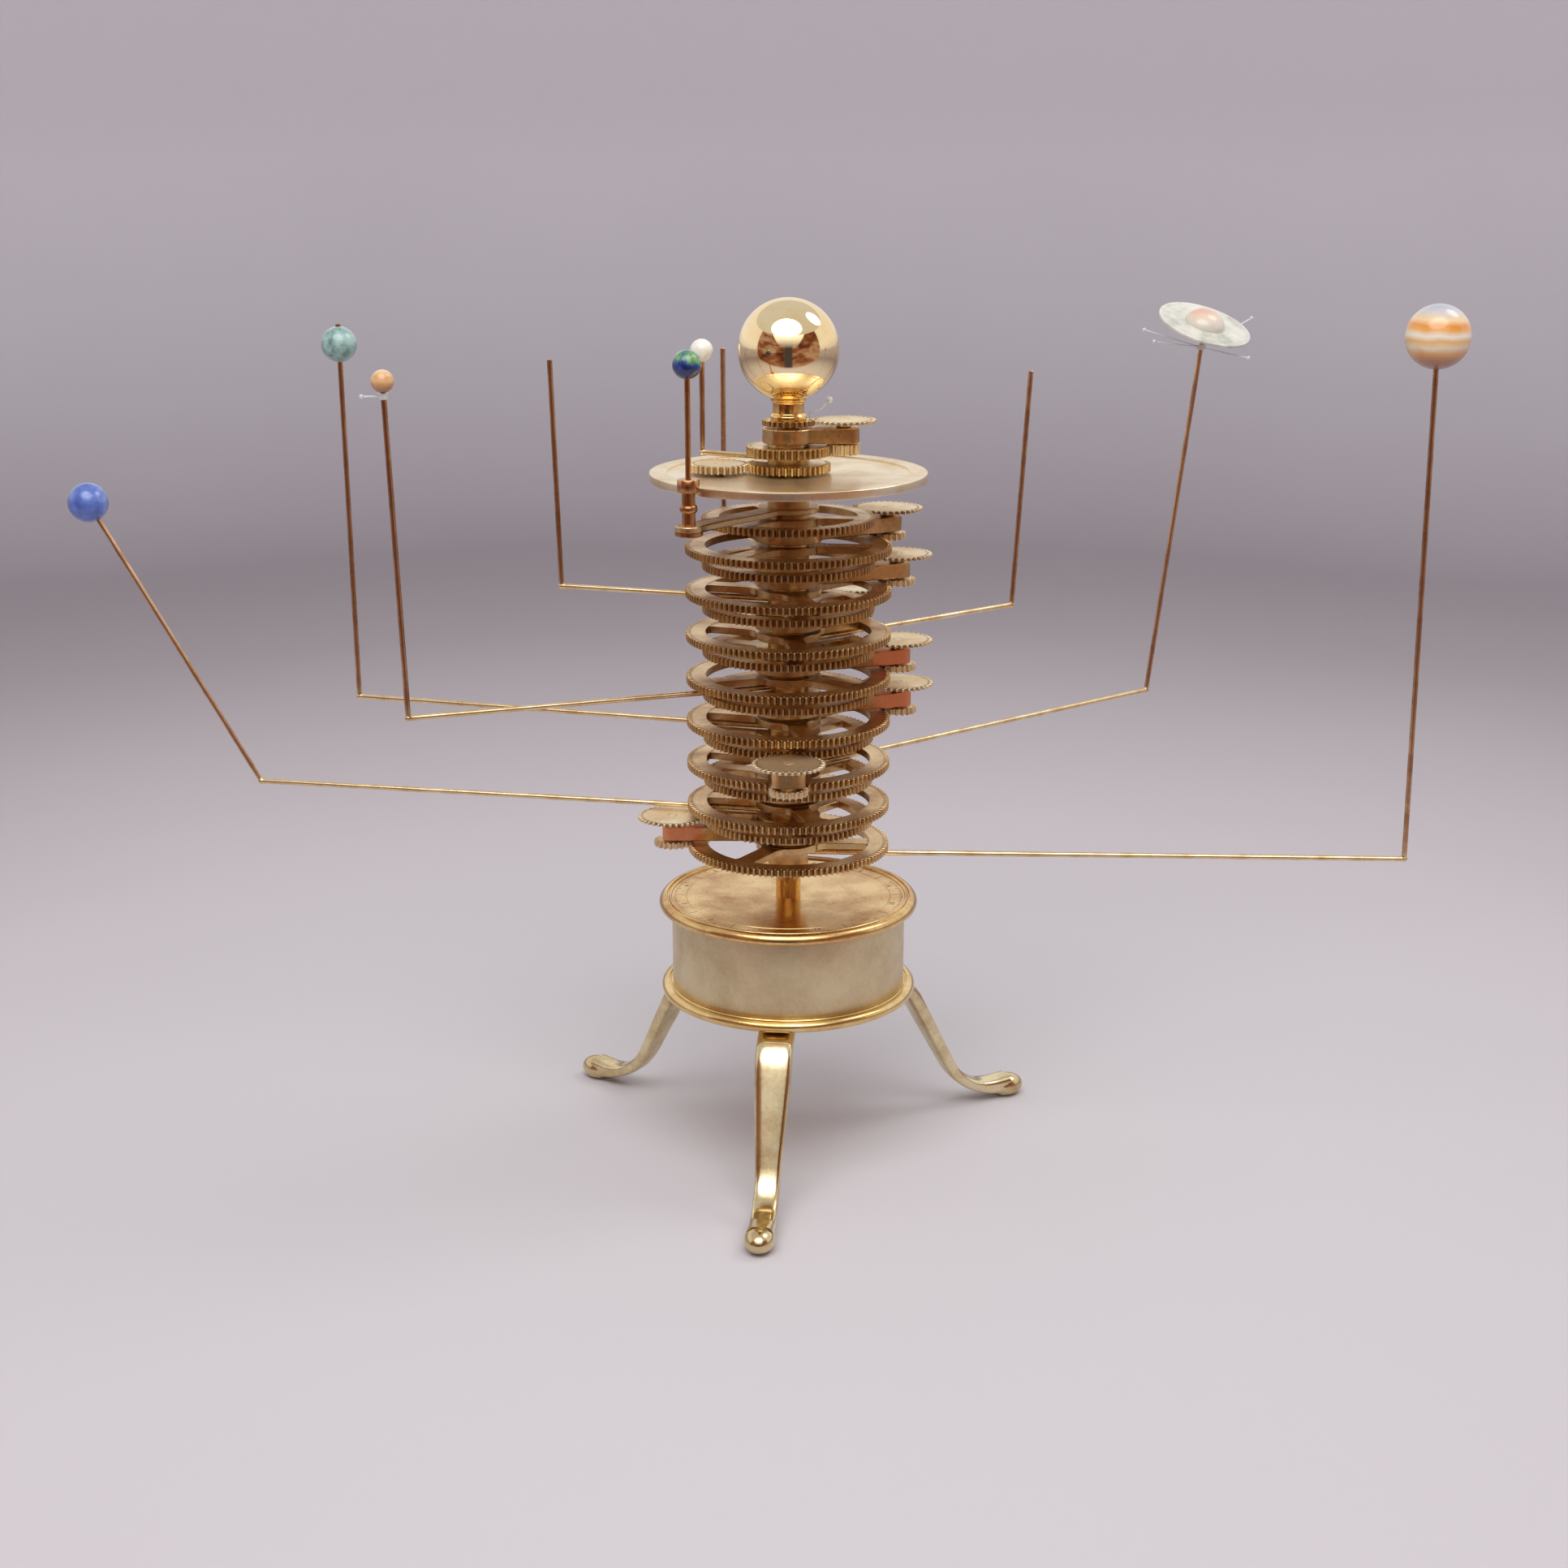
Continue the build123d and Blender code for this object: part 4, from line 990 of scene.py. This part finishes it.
def strokes(count, inner, outer, width):
    """Thin radial plates, evenly spaced: eight corners of one plate, turned to every angle at once."""
    corners = np.array([(r, side * width / 2, z) for z in (dial_z - mark_rise, dial_z + mark_rise)
                        for r, side in ((inner, -1), (outer, -1), (outer, 1), (inner, 1))])
    angles = round_angles(count)
    c, s = np.cos(angles)[:, None], np.sin(angles)[:, None]
    x, y, z = corners.T
    points = np.stack([c * x - s * y, s * x + c * y, z + 0 * c], -1).reshape(-1, 3) + column
    one = np.array([(3, 2, 1, 0), (4, 5, 6, 7), (0, 1, 5, 4), (1, 2, 6, 5), (2, 3, 7, 6), (3, 0, 4, 7)])
    quads = (one[None] + 8 * np.arange(count)[:, None, None]).reshape(-1, 4)
    return points, quads, no_triangles


def wax():
    """Dark brown wax, a little uneven."""
    material, tree, shader = blank("engraving_wax")
    cloud = noise(tree, from_point(tree, column), 400.0)
    brown = mixed(tree, cloud, tone(58, 40, 26), tone(104, 78, 50))
    feed(tree, shader, {"Base Color": brown, "Roughness": 0.5})
    return material


wax_finish = wax()
# How many strokes, from which radius to which, and how wide, in millimetres.
stroke_rings = ((180, 47.4, 48.2, 0.16), (36, 46.6, 48.2, 0.24), (12, 43.8, 46.4, 0.3))
marks = [strokes(number, inner * MM, outer * MM, width * MM) for number, inner, outer, width in stroke_rings]
piece("dial_strokes", marks, wax_finish, "stand", None, 30)

# %% Numbers
number_height, number_radius = 2.3 * MM, 45.2 * MM
digit_share = 0.7
hour_step, first_hour_azimuth = 30, 255


def numeral(text, height, radius, azimuth):
    """One number as a closed mesh, upright across a radius of the dial. A digit is 0.7 of its font's size."""
    curve = bpy.data.curves.new("numeral", "FONT")
    curve.body = text
    curve.size = height / digit_share
    curve.extrude = mark_rise
    curve.resolution_u = 3
    curve.align_x = "CENTER"
    holder = placed("numeral", curve)
    bpy.context.view_layer.update()
    mesh = bpy.data.meshes.new_from_object(holder)
    bpy.data.objects.remove(holder)
    points = np.zeros(len(mesh.vertices) * 3)
    mesh.vertices.foreach_get("co", points)
    points = points.reshape(-1, 3) + (0, -radius - height / 2, dial_z)
    faces = [list(face.vertices) for face in mesh.polygons]
    bpy.data.meshes.remove(mesh)
    return rotated(points, azimuth + 90) + column, faces


number_points, number_faces, count = [], [], 0
for hour in range(12):
    azimuth = first_hour_azimuth - hour_step * hour
    points, faces = numeral(str(hour + 1), number_height, number_radius, azimuth)
    number_points.append(points)
    number_faces += [[corner + count for corner in face] for face in faces]
    count += len(points)
seated("dial_numbers", np.vstack(number_points), number_faces, wax_finish, "stand", None)


# %% [markdown]
# ## Legs
# Three cast legs: each leaves the base flat, bends down, sweeps out again and ends in a round toe. The line
# is a chain of two straight runs and two arcs. A rounded strip is carried along it, narrowing to the ankle,
# and it swells at the end into the toe, whose underside is flat where it stands.

# %% The leg's line
leg_azimuths = {"front": 264.0, "left": 144.0, "right": 24.0}
leg_thick = 6.5 * MM
leg_slope = np.radians(62.0)
bend_radius, sweep_out_radius = 20 * MM, 28 * MM
tab_start, tab_end = 31 * MM, 42 * MM
ankle_height, toe_run = 6 * MM, 6.1 * MM


def leg_line():
    """The middle line as (distance from the column, height): tab, bend, straight run, sweep and toe."""
    tab = np.array([tab_start, base_low - leg_thick / 2])
    shoulder = np.array([tab_end, tab[1]])
    turn = np.linspace(0, leg_slope, 14)
    upper = shoulder + bend_radius * np.stack([np.sin(turn), np.cos(turn) - 1], -1)
    drop = upper[-1, 1] - ankle_height - sweep_out_radius * (1 - np.cos(leg_slope))
    ankle = upper[-1] + (drop / np.tan(leg_slope), -drop)
    lower = ankle + sweep_out_radius * np.stack([np.sin(leg_slope) - np.sin(turn[::-1]),
                                                 np.cos(leg_slope) - np.cos(turn[::-1])], -1)
    straight = np.linspace(upper[-1], ankle, 8)[1:-1]
    end = lower[-1] + np.outer(np.linspace(0, 1, 6)[1:], (toe_run, 0))
    return np.vstack([np.linspace(tab, shoulder, 4)[:-1], upper, straight, lower, end])


# %% Cast legs
squareness = 0.55
# Half the leg's width and thickness in millimetres, each at shares of its length.
width_shares, half_widths = (0, 0.33, 0.7, 1), (7.6, 7.6, 5.1, 5.4)
thick_shares, half_thicknesses = (0, 0.33, 0.7, 0.85, 1), (3.25, 3.25, 2.7, 2.6, 4.2)
toe_size = np.array([8.0, 6.3, 5.2]) * MM
toe_pressed = 0.3 * MM
toe_reach = leg_line()[-1, 0]


def leg(azimuth):
    """A rounded strip carried along the leg's line. Its section is a superellipse: each coordinate is |cos|
    or |sin| of the angle to the power of the squareness, nearly a rectangle with round corners."""
    line = leg_line()
    step = np.gradient(line, axis=0)
    step /= np.linalg.norm(step, axis=1, keepdims=True)
    walked = np.concatenate([[0], np.cumsum(np.linalg.norm(np.diff(line, axis=0), axis=1))])
    share = walked / walked[-1]
    half_width = np.interp(share, width_shares, half_widths) * MM
    half_thick = np.interp(share, thick_shares, half_thicknesses) * MM
    angles = round_angles(48)
    u, v = (np.sign(wave) * np.abs(wave) ** squareness for wave in (np.cos(angles), np.sin(angles)))
    across = np.stack([-step[:, 1], step[:, 0]], -1)
    rise = across[:, None] * v[None, :, None] * half_thick[:, None, None]
    grid = np.stack([line[:, :1] + rise[..., 0], half_width[:, None] * u, line[:, 1:] + rise[..., 1]], -1)
    ends = np.array([(end[0], 0, end[1]) for end in (line[0], line[-1])])
    return shell(rotated(grid, azimuth) + column, rotated(ends, azimuth) + column)


def toe(azimuth):
    """A long ball, stretched along the leg, whose underside is pressed flat on the floor."""
    points, quads, triangles = ball(np.zeros(3), 1.0, 40, 64)
    points = points * toe_size + (toe_reach, 0, toe_size[2] - toe_pressed)
    points[:, 2] = np.maximum(points[:, 2], 0)
    return rotated(points, azimuth) + column, quads, triangles


for side, azimuth in leg_azimuths.items():
    leg_brass = brass(f"cast_brass_{side}", column, (232, 216, 176), (188, 158, 108), 0.1, 0.24, 120.0, 0.08)
    piece(f"cast_leg_{side}", [leg(azimuth), toe(azimuth)], leg_brass, "stand", f"leg_{side}",
          50)


# %% [markdown]
# ## Bent rods
# Each planet stands on a drawn rod, bent once and touched with solder at the bend. The rod is a circle
# carried along two straight runs with a tight curve between them. The verticals are painted a coppery brown
# and the level runs pale: a painted reflection of the dark room at the sides and of the light from above.

# %% Where the rods run
arm_reaches = (258.8, 236.5, 220.4, 196.0, 159.1, 125.9, 100.1, 73.6)
rod_top_reaches = (256.2, 308.0, 249.5, 197.0, 163.0, 133.7, 102.8, 73.6)
rod_top_rises = (6.0, -71.0, -4.0, -3.0, -6.4, -17.1, -6.9, -6.0)
rod_drop = 3.6 * MM
rod_root = hub_radius - 2.2 * MM
pale_tip_height = 8.5 * MM


def ball_middle(node):
    """A packed ball's middle, from its width and its top, because a ball may be cut or drilled below."""
    low, high = corners_of(node)
    return np.array([*(low + high)[:2] / 2, high[2] - radius_of(node)])


def reach_point(reach, azimuth, z):
    """A place at a distance and bearing from the column."""
    return column + rotated(np.array([reach, 0.0, 0.0]), azimuth) + (0, 0, z)


def elbow_of(level):
    """The bend of a level's rod."""
    z = wheel_middles[level - 1] - rod_drop
    return reach_point(arm_reaches[level - 1] * MM, arm_azimuths[level - 1], z)


def rod_top(level):
    """The upper end of a level's rod, at or in its ball."""
    return reach_point(rod_top_reaches[level - 1] * MM, arm_azimuths[level - 1],
                       sun_middle[2] + rod_top_rises[level - 1] * MM)


def unit(vector):
    """A vector's direction."""
    return vector / np.linalg.norm(vector)


sun_middle, sun_radius = ball_middle("sun_ball"), radius_of("sun_ball")
print("sun at", sun_middle.round(4), "radius", round(sun_radius, 4))


# %% Drawn and bent rods
rod_radius, solder_radius = 1.1 * MM, 1.35 * MM
rod_end_bevel = 0.25 * MM


def rod_brass(name, elbow_z):
    """Drawn brass with a painted reflection: pale below the elbow, for the light from above, and coppery
    above it, for the dark room at the sides. Cloudy tones, a changing roughness and a fine bumped grain.
    """
    material, tree, shader = blank(name)
    place = from_point(tree, (0, 0, elbow_z))
    cloud = noise(tree, place, 120.0, 4.0)
    height = math(tree, "ADD", split(tree, place)[2], math(tree, "MULTIPLY", cloud, 4 * MM))
    # Painted reflection: coppery where the upright faces the dark room, pale where the level run faces the
    # light above.
    painted_dark_reflection = mixed(tree, spread(tree, cloud, 0.35, 0.65), tone(214, 176, 142), tone(172, 128, 96))
    pale = mixed(tree, spread(tree, cloud, 0.3, 0.7), tone(236, 216, 176), tone(206, 174, 124))
    grain = noise(tree, place, 900.0)
    feed(tree, shader, {
        "Metallic": 1.0,
        "Base Color": mixed(tree, spread(tree, height, 2 * MM, 9 * MM), pale, painted_dark_reflection),
        "Roughness": spread(tree, cloud, 0.3, 0.7, 0.18, 0.34),
        "Normal": add(tree, "Bump", {"Height": grain, "Strength": 0.25, "Distance": 0.05 * MM}),
    })
    return material


def bent_path(start, elbow, end, curve=1.6 * MM):
    """Two straight runs with a quadratic Bezier between them, and an extra point near each end."""
    first, second = unit(elbow - start), unit(end - elbow)
    t = np.linspace(0, 1, 9)[:, None]
    bend = bezier(elbow - first * curve, elbow, elbow + second * curve, t)
    return np.vstack([start, start + first * rod_end_bevel, bend, end - second * rod_end_bevel, end])


def bent_rod(name, start, elbow, end, body, node):
    """The rod, and a drop of solder round its bend."""
    path = bent_path(start, elbow, end)
    radii = np.full(len(path), rod_radius)
    radii[[0, -1]] -= rod_end_bevel
    across = unit(np.cross(elbow - start, end - elbow))
    shells = [drawn(path, radii, across), ball(elbow, solder_radius, 14, 24)]
    piece(name, shells, rod_brass(name + "_brass", elbow[2]), body, node, 40)


for level in range(1, 9):
    start = reach_point(rod_root, arm_azimuths[level - 1], wheel_middles[level - 1] - rod_drop)
    elbow, end = elbow_of(level), rod_top(level)
    if level == 4:
        end = end + unit(end - elbow) * pale_tip_height
    bent_rod(f"bent_rod_{level}", start, elbow, end, f"planet_{level}", f"arm_{level}")

white_middle = ball_middle("white_ball")
venus_rod_z = z_range("venus_arm")[0] + solder_radius
bent_rod("bent_rod_venus", reach_point(rod_root, venus_azimuth, venus_rod_z),
         np.array([*white_middle[:2], venus_rod_z]), white_middle, "venus_group", "venus_arm")


# %% The Earth's spindle
spindle_centre = reach_point(earth_reach, earth_azimuth, 0.0)
spindle_low, spindle_high = z_range("earth_rod")
nut_radius, pin_radius, spindle_radius, collar_radius = 5.5 * MM, 1.6 * MM, 2.6 * MM, 4.35 * MM
bead_rise, spindle_collar_rise, spindle_collar_height = 6.5 * MM, 13 * MM, 5 * MM
spindle_bevel = 0.3 * MM


def spindle_profile():
    """From the nut up: nut, tube, bead, tube, collar, and the thin rod. The bead is half an ellipse."""
    bead_size = np.array([0.9, 1.5]) * MM
    half_turn = np.linspace(-np.pi / 2, np.pi / 2, 9)
    bead = on_circle(1, half_turn) * bead_size + (spindle_radius, arm_high + bead_rise)
    bottom = arm_high + spindle_collar_rise
    top = bottom + spindle_collar_height
    narrow = collar_radius - 0.25 * MM
    lower = [(0, spindle_low), (nut_radius - spindle_bevel, spindle_low),
             (nut_radius, spindle_low + spindle_bevel), (nut_radius, arm_low), (pin_radius, arm_low),
             (pin_radius, arm_high), (spindle_radius, arm_high)]
    upper = [(spindle_radius, bottom), (narrow, bottom), (collar_radius, bottom + spindle_bevel),
             (collar_radius, top - spindle_bevel), (narrow, top), (rod_radius, top),
             (rod_radius, spindle_high), (0, spindle_high)]
    return np.vstack([lower, bead, upper])


spindle_brass = brass("spindle_brass", spindle_centre, (214, 164, 112), (158, 100, 62), 0.16, 0.34, 1200.0)
piece("turned_earth_spindle", [turned_solid(spindle_profile(), spindle_centre)], spindle_brass, "earth_group",
      "earth_rod", 40)


# %% [markdown]
# ## The Sun
# The Sun is a hollow-looking mirror of a ball: lacquered brass with hardly any roughness. A sphere with few
# faces would show them as kinks in its reflections, so this one has many. Its neck is a short turned post,
# cupped on top to the ball's own curve.

# %% Sun and neck
sun_gold = brass("sun_gold", sun_middle, (252, 230, 186), (244, 212, 158), 0.03, 0.07, 60.0, 0.01)
piece("polished_sun", [ball(sun_middle, sun_radius, 96, 192)], sun_gold, "sun_shaft", "sun_ball",
      60)

neck_low = box_top("mercury_gear")
neck_radius = 7.35 * MM
waist_radius = neck_radius - 0.9 * MM
cup, cup_low = (sun_middle[2] - np.sqrt(sun_radius**2 - radius**2) - 0.05 * MM
                for radius in (neck_radius, shaft_radius))
neck = softened([(shaft_radius, neck_low), (neck_radius, neck_low), (neck_radius, neck_low + 1.6 * MM),
                 (waist_radius, neck_low + 2.6 * MM), (waist_radius, cup - 1.6 * MM),
                 (neck_radius, cup - 0.8 * MM), (neck_radius, cup), (shaft_radius, cup_low)], 0.35 * MM)
neck_brass = brass("neck_brass", column, (246, 206, 130), (214, 162, 86), 0.08, 0.2, 1300.0)
piece("turned_neck", [turned(neck, column, 96)], neck_brass, "sun_shaft", "sun_neck")


# %% [markdown]
# ## Planets
# The balls are painted wood or resin under a clear coat. Each gets its own small pattern, worked out from
# the height or the place on the ball, and the clear coat is the shader's own, so it shines the same from
# every side.

# %% Paint
def paint(name, centre, make_colour, rough=0.28, coat=0.6):
    """A painted, lacquered surface. make_colour gets the tree and the place from the ball's middle."""
    material, tree, shader = blank(name)
    place = from_point(tree, centre)
    grain = noise(tree, place, 350.0)
    feed(tree, shader, {
        "Base Color": make_colour(tree, place),
        "Roughness": rough,
        "Coat Weight": coat,
        "Coat Roughness": 0.08,
        "Normal": add(tree, "Bump", {"Height": grain, "Strength": 0.15, "Distance": 0.08 * MM}),
    })
    return material


def belt(tree, place, wobble, scale, low, high):
    """The height on a ball, bent a little by noise, as a share from 0 at low to 1 at high."""
    bend = math(tree, "MULTIPLY", math(tree, "SUBTRACT", noise(tree, place, scale), 0.5), wobble)
    return spread(tree, math(tree, "ADD", split(tree, place)[2], bend), low, high)


# %% The planets' colours
def banded(tree, place):
    """Cream, orange and white belts, a red-brown underside and a grey-blue cap."""
    return ramp(tree, belt(tree, place, 2.4 * MM, 90.0, -12.8 * MM, 12.8 * MM), [
        (0.0, 120, 72, 52), (0.16, 176, 118, 84), (0.27, 226, 168, 104), (0.36, 240, 222, 190),
        (0.46, 240, 190, 120), (0.54, 246, 240, 222), (0.63, 238, 170, 86), (0.7, 232, 148, 60),
        (0.78, 240, 206, 156), (0.9, 196, 192, 196), (1.0, 160, 166, 182)])


def blue(tree, place):
    """Cloudy blue."""
    return ramp(tree, noise(tree, place, 150.0, 4.0), [(0.3, 66, 90, 168), (0.55, 92, 120, 196),
                                                      (0.75, 140, 162, 220)])


def pale_green(tree, place):
    """Pale cyan green with a few darker patches."""
    return ramp(tree, noise(tree, place, 130.0, 5.0, 0.65), [(0.32, 66, 92, 92), (0.42, 124, 156, 150),
                                                            (0.56, 160, 192, 184), (0.8, 190, 214, 206)])


def tan(tree, place):
    """Sandy orange with soft belts."""
    return ramp(tree, belt(tree, place, 2.0 * MM, 250.0, -4.4 * MM, 4.4 * MM), [
        (0.0, 150, 98, 62), (0.35, 206, 150, 96), (0.55, 232, 184, 128), (0.75, 216, 160, 104),
        (1.0, 238, 204, 160)])


def white(tree, place):
    """Cream white, faintly cloudy."""
    return mixed(tree, noise(tree, place, 200.0), tone(232, 228, 212), tone(250, 248, 240))


def earth(tree, place):
    """Green lands over deep blue seas, with more land towards the top."""
    lift = math(tree, "MULTIPLY", split(tree, place)[2], 45.0)
    return ramp(tree, math(tree, "ADD", noise(tree, place, 260.0, 4.0), lift), [
        (0.36, 14, 30, 84), (0.52, 26, 62, 140), (0.58, 52, 118, 110), (0.68, 96, 146, 92),
        (0.9, 170, 192, 140)])


def cream(tree, place):
    """Cream white with greenish grey clouds."""
    return ramp(tree, noise(tree, place, 90.0, 5.0), [(0.3, 168, 172, 158), (0.5, 214, 212, 200),
                                                     (0.75, 238, 234, 222)])


def dome(tree, place):
    """Cream with a pink flush on the top."""
    return ramp(tree, belt(tree, place, 3.0 * MM, 150.0, 1.0 * MM, 7.5 * MM), [
        (0.0, 222, 214, 196), (0.5, 228, 204, 182), (1.0, 222, 158, 138)])


# %% Planet balls
planets = {
    "banded_ball": ("planet_1", "banded_gloss", banded),
    "blue_ball": ("planet_2", "blue_gloss", blue),
    "pale_ball": ("planet_4", "pale_green_gloss", pale_green),
    "tan_ball": ("planet_5", "tan_gloss", tan),
    "white_ball": ("venus_group", "white_gloss", white),
    "earth_ball": ("earth_group", "earth_gloss", earth),
}
for node, (body, slot, colour) in planets.items():
    centre = ball_middle(node)
    finish = paint(node + "_paint", centre, colour)
    piece("painted_" + node, [ball(centre, radius_of(node))], finish, body, node, 60)


# %% [markdown]
# ## The ringed planet
# Its ring is a thin disc with a low lip, tipped towards the viewer and down to the right, with a flattened
# ball through the middle. Four glass beads stand round it on fine wires from a small collar on the rod.

# %% Ring and dome
ring_middle = rod_top(3)
pitch, roll = np.radians(18.6), np.radians(14.0)
ring_outer, ring_half_thick = 22 * MM, 0.6 * MM
dome_radius, dome_height = 9.5 * MM, 7 * MM


def tipped(made):
    """A shell made round the origin, tipped about X, then about Y, and moved to the ringed planet."""
    points, quads, triangles = made
    c, s = np.cos(pitch), np.sin(pitch)
    about_x = np.array([[1, 0, 0], [0, c, s], [0, -s, c]])
    c, s = np.cos(roll), np.sin(roll)
    about_y = np.array([[c, 0, -s], [0, 1, 0], [s, 0, c]])
    return points @ about_x @ about_y + ring_middle, quads, triangles


def ring_profile():
    """Round the ring: a flat underside, and a sunk face between two low lips."""
    inner, high, low = dome_radius - 0.5 * MM, ring_half_thick, ring_half_thick - 0.4 * MM
    return softened([(inner, -high), (ring_outer, -high), (ring_outer, high), (ring_outer - 1.6 * MM, high),
                     (ring_outer - 2 * MM, low), (dome_radius + 2 * MM, low), (dome_radius + 1.6 * MM, high),
                     (inner, high)], 0.3 * MM)


origin = np.zeros(3)
ring_paint = paint("ring_paint", ring_middle, cream, 0.3, 0.5)
piece("painted_ring", [tipped(turned(ring_profile(), origin, 128))], ring_paint, "planet_3", "ring_disc")
piece("painted_dome", [tipped(ball(origin, dome_radius, flatten=dome_height / dome_radius))],
      paint("dome_paint", ring_middle, dome, 0.3, 0.5), "planet_3", "ringed_ball", 60)


# %% Beads on wires
bead_radius, sun_bead_radius, wire_radius = 0.95 * MM, 1.4 * MM, 0.35 * MM
bead_collar_radius, bead_collar_height, bead_collar_bevel = 2.0 * MM, 2.4 * MM, 0.2 * MM


def glass():
    """Clear glass with a faint cloud in it."""
    material, tree, shader = blank("bead_glass")
    cloud = noise(tree, from_point(tree, column), 500.0)
    feed(tree, shader, {"Base Color": mixed(tree, cloud, tone(226, 228, 230), tone(252, 252, 252)),
                        "Roughness": 0.08, "Transmission Weight": 0.35, "Coat Weight": 0.5})
    return material


def wire(points, across):
    """A fine wire through the points."""
    return drawn(np.array(points), np.full(len(points), wire_radius), across, 12)


def beads_on_wires(root, along, tips):
    """A collar round the rod, and a wire with a bead for each tip."""
    half = bead_collar_height / 2
    rises = (-half, bead_collar_bevel - half, half - bead_collar_bevel, half)
    path = np.array([root + along * rise for rise in rises])
    radii = bead_collar_radius - np.array([bead_collar_bevel, 0, 0, bead_collar_bevel])
    shells = [drawn(path, radii, unit(np.cross(along, (0, 1, 0))), 32)]
    for tip in tips:
        across = unit(np.cross(tip - root, (0, 0, 1)))
        shells += [wire([root, (root + tip) / 2, tip], across), ball(tip, bead_radius, 16, 24)]
    return shells


# %% The beads of the ringed planet, of the tan one and of the Sun
bead_glass = glass()
# Each bead's distance from the rod, its bearing in degrees and its rise, with the lengths in millimetres.
bead_places = ((26.8, 180.0, 8.0), (23.2, 192.5, 3.1), (22.6, 333.8, -4.0), (37.3, 42.0, 11.2))
ring_collar_drop, tan_collar_drop = 10.3 * MM, 5.6 * MM
along = unit(ring_middle - elbow_of(3))
root = ring_middle - along * ring_collar_drop
tips = [root + rotated(np.array([reach * MM, 0, 0]), azimuth) + (0, 0, rise * MM)
        for reach, azimuth, rise in bead_places]
piece("ringed_ball_beads", beads_on_wires(root, along, tips), bead_glass, "planet_3", "ringed_ball_moons",
      40)

tan_bead_reach, tan_bead_azimuth = 8.2 * MM, 190.0
tan_middle = ball_middle("tan_ball")
along = unit(tan_middle - elbow_of(5))
root = tan_middle - along * tan_collar_drop
tips = [root + rotated(np.array([tan_bead_reach, 0, 0]), tan_bead_azimuth)]
piece("tan_ball_bead", beads_on_wires(root, along, tips), bead_glass, "planet_5", "tan_ball_moon",
      40)

sun_bead_reach, sun_bead_drop = 16.4 * MM, 20 * MM
sun_wire = [reach_point(reach * MM, 0.0, neck_low + rise * MM)
            for reach, rise in ((8.6, 0), (8.6, 2.8), (13.0, 4.2))]
bead_tip = reach_point(sun_bead_reach, 0.0, sun_middle[2] - sun_bead_drop)
sun_bead = [wire([*sun_wire, bead_tip], (0, 1, 0)), ball(bead_tip, sun_bead_radius, 20, 32)]
piece("sun_bead", sun_bead, bead_glass, "sun_shaft", "mercury_bead", 40)


# %% [markdown]
# ## Pieces kept from the frame
# Screws, the motor and the shaft are hardly seen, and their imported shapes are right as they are. They keep
# their own meshes and only get a finish of their own.

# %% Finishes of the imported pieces
def steel(name):
    """Grey steel with fine marks."""
    return brass(name, column, (190, 190, 192), (140, 138, 138), 0.2, 0.4)


kept = {"leg_screws": steel("screw_steel"), "motor": steel("motor_steel"), "motor_pinion": wheel_brass,
        "drive_shaft": column_brass}
for node, material in kept.items():
    slots = frame["nodes"][node].material_slots
    for material_slot in slots:
        material_slot.material = material
    print(node, "slots", len(slots))
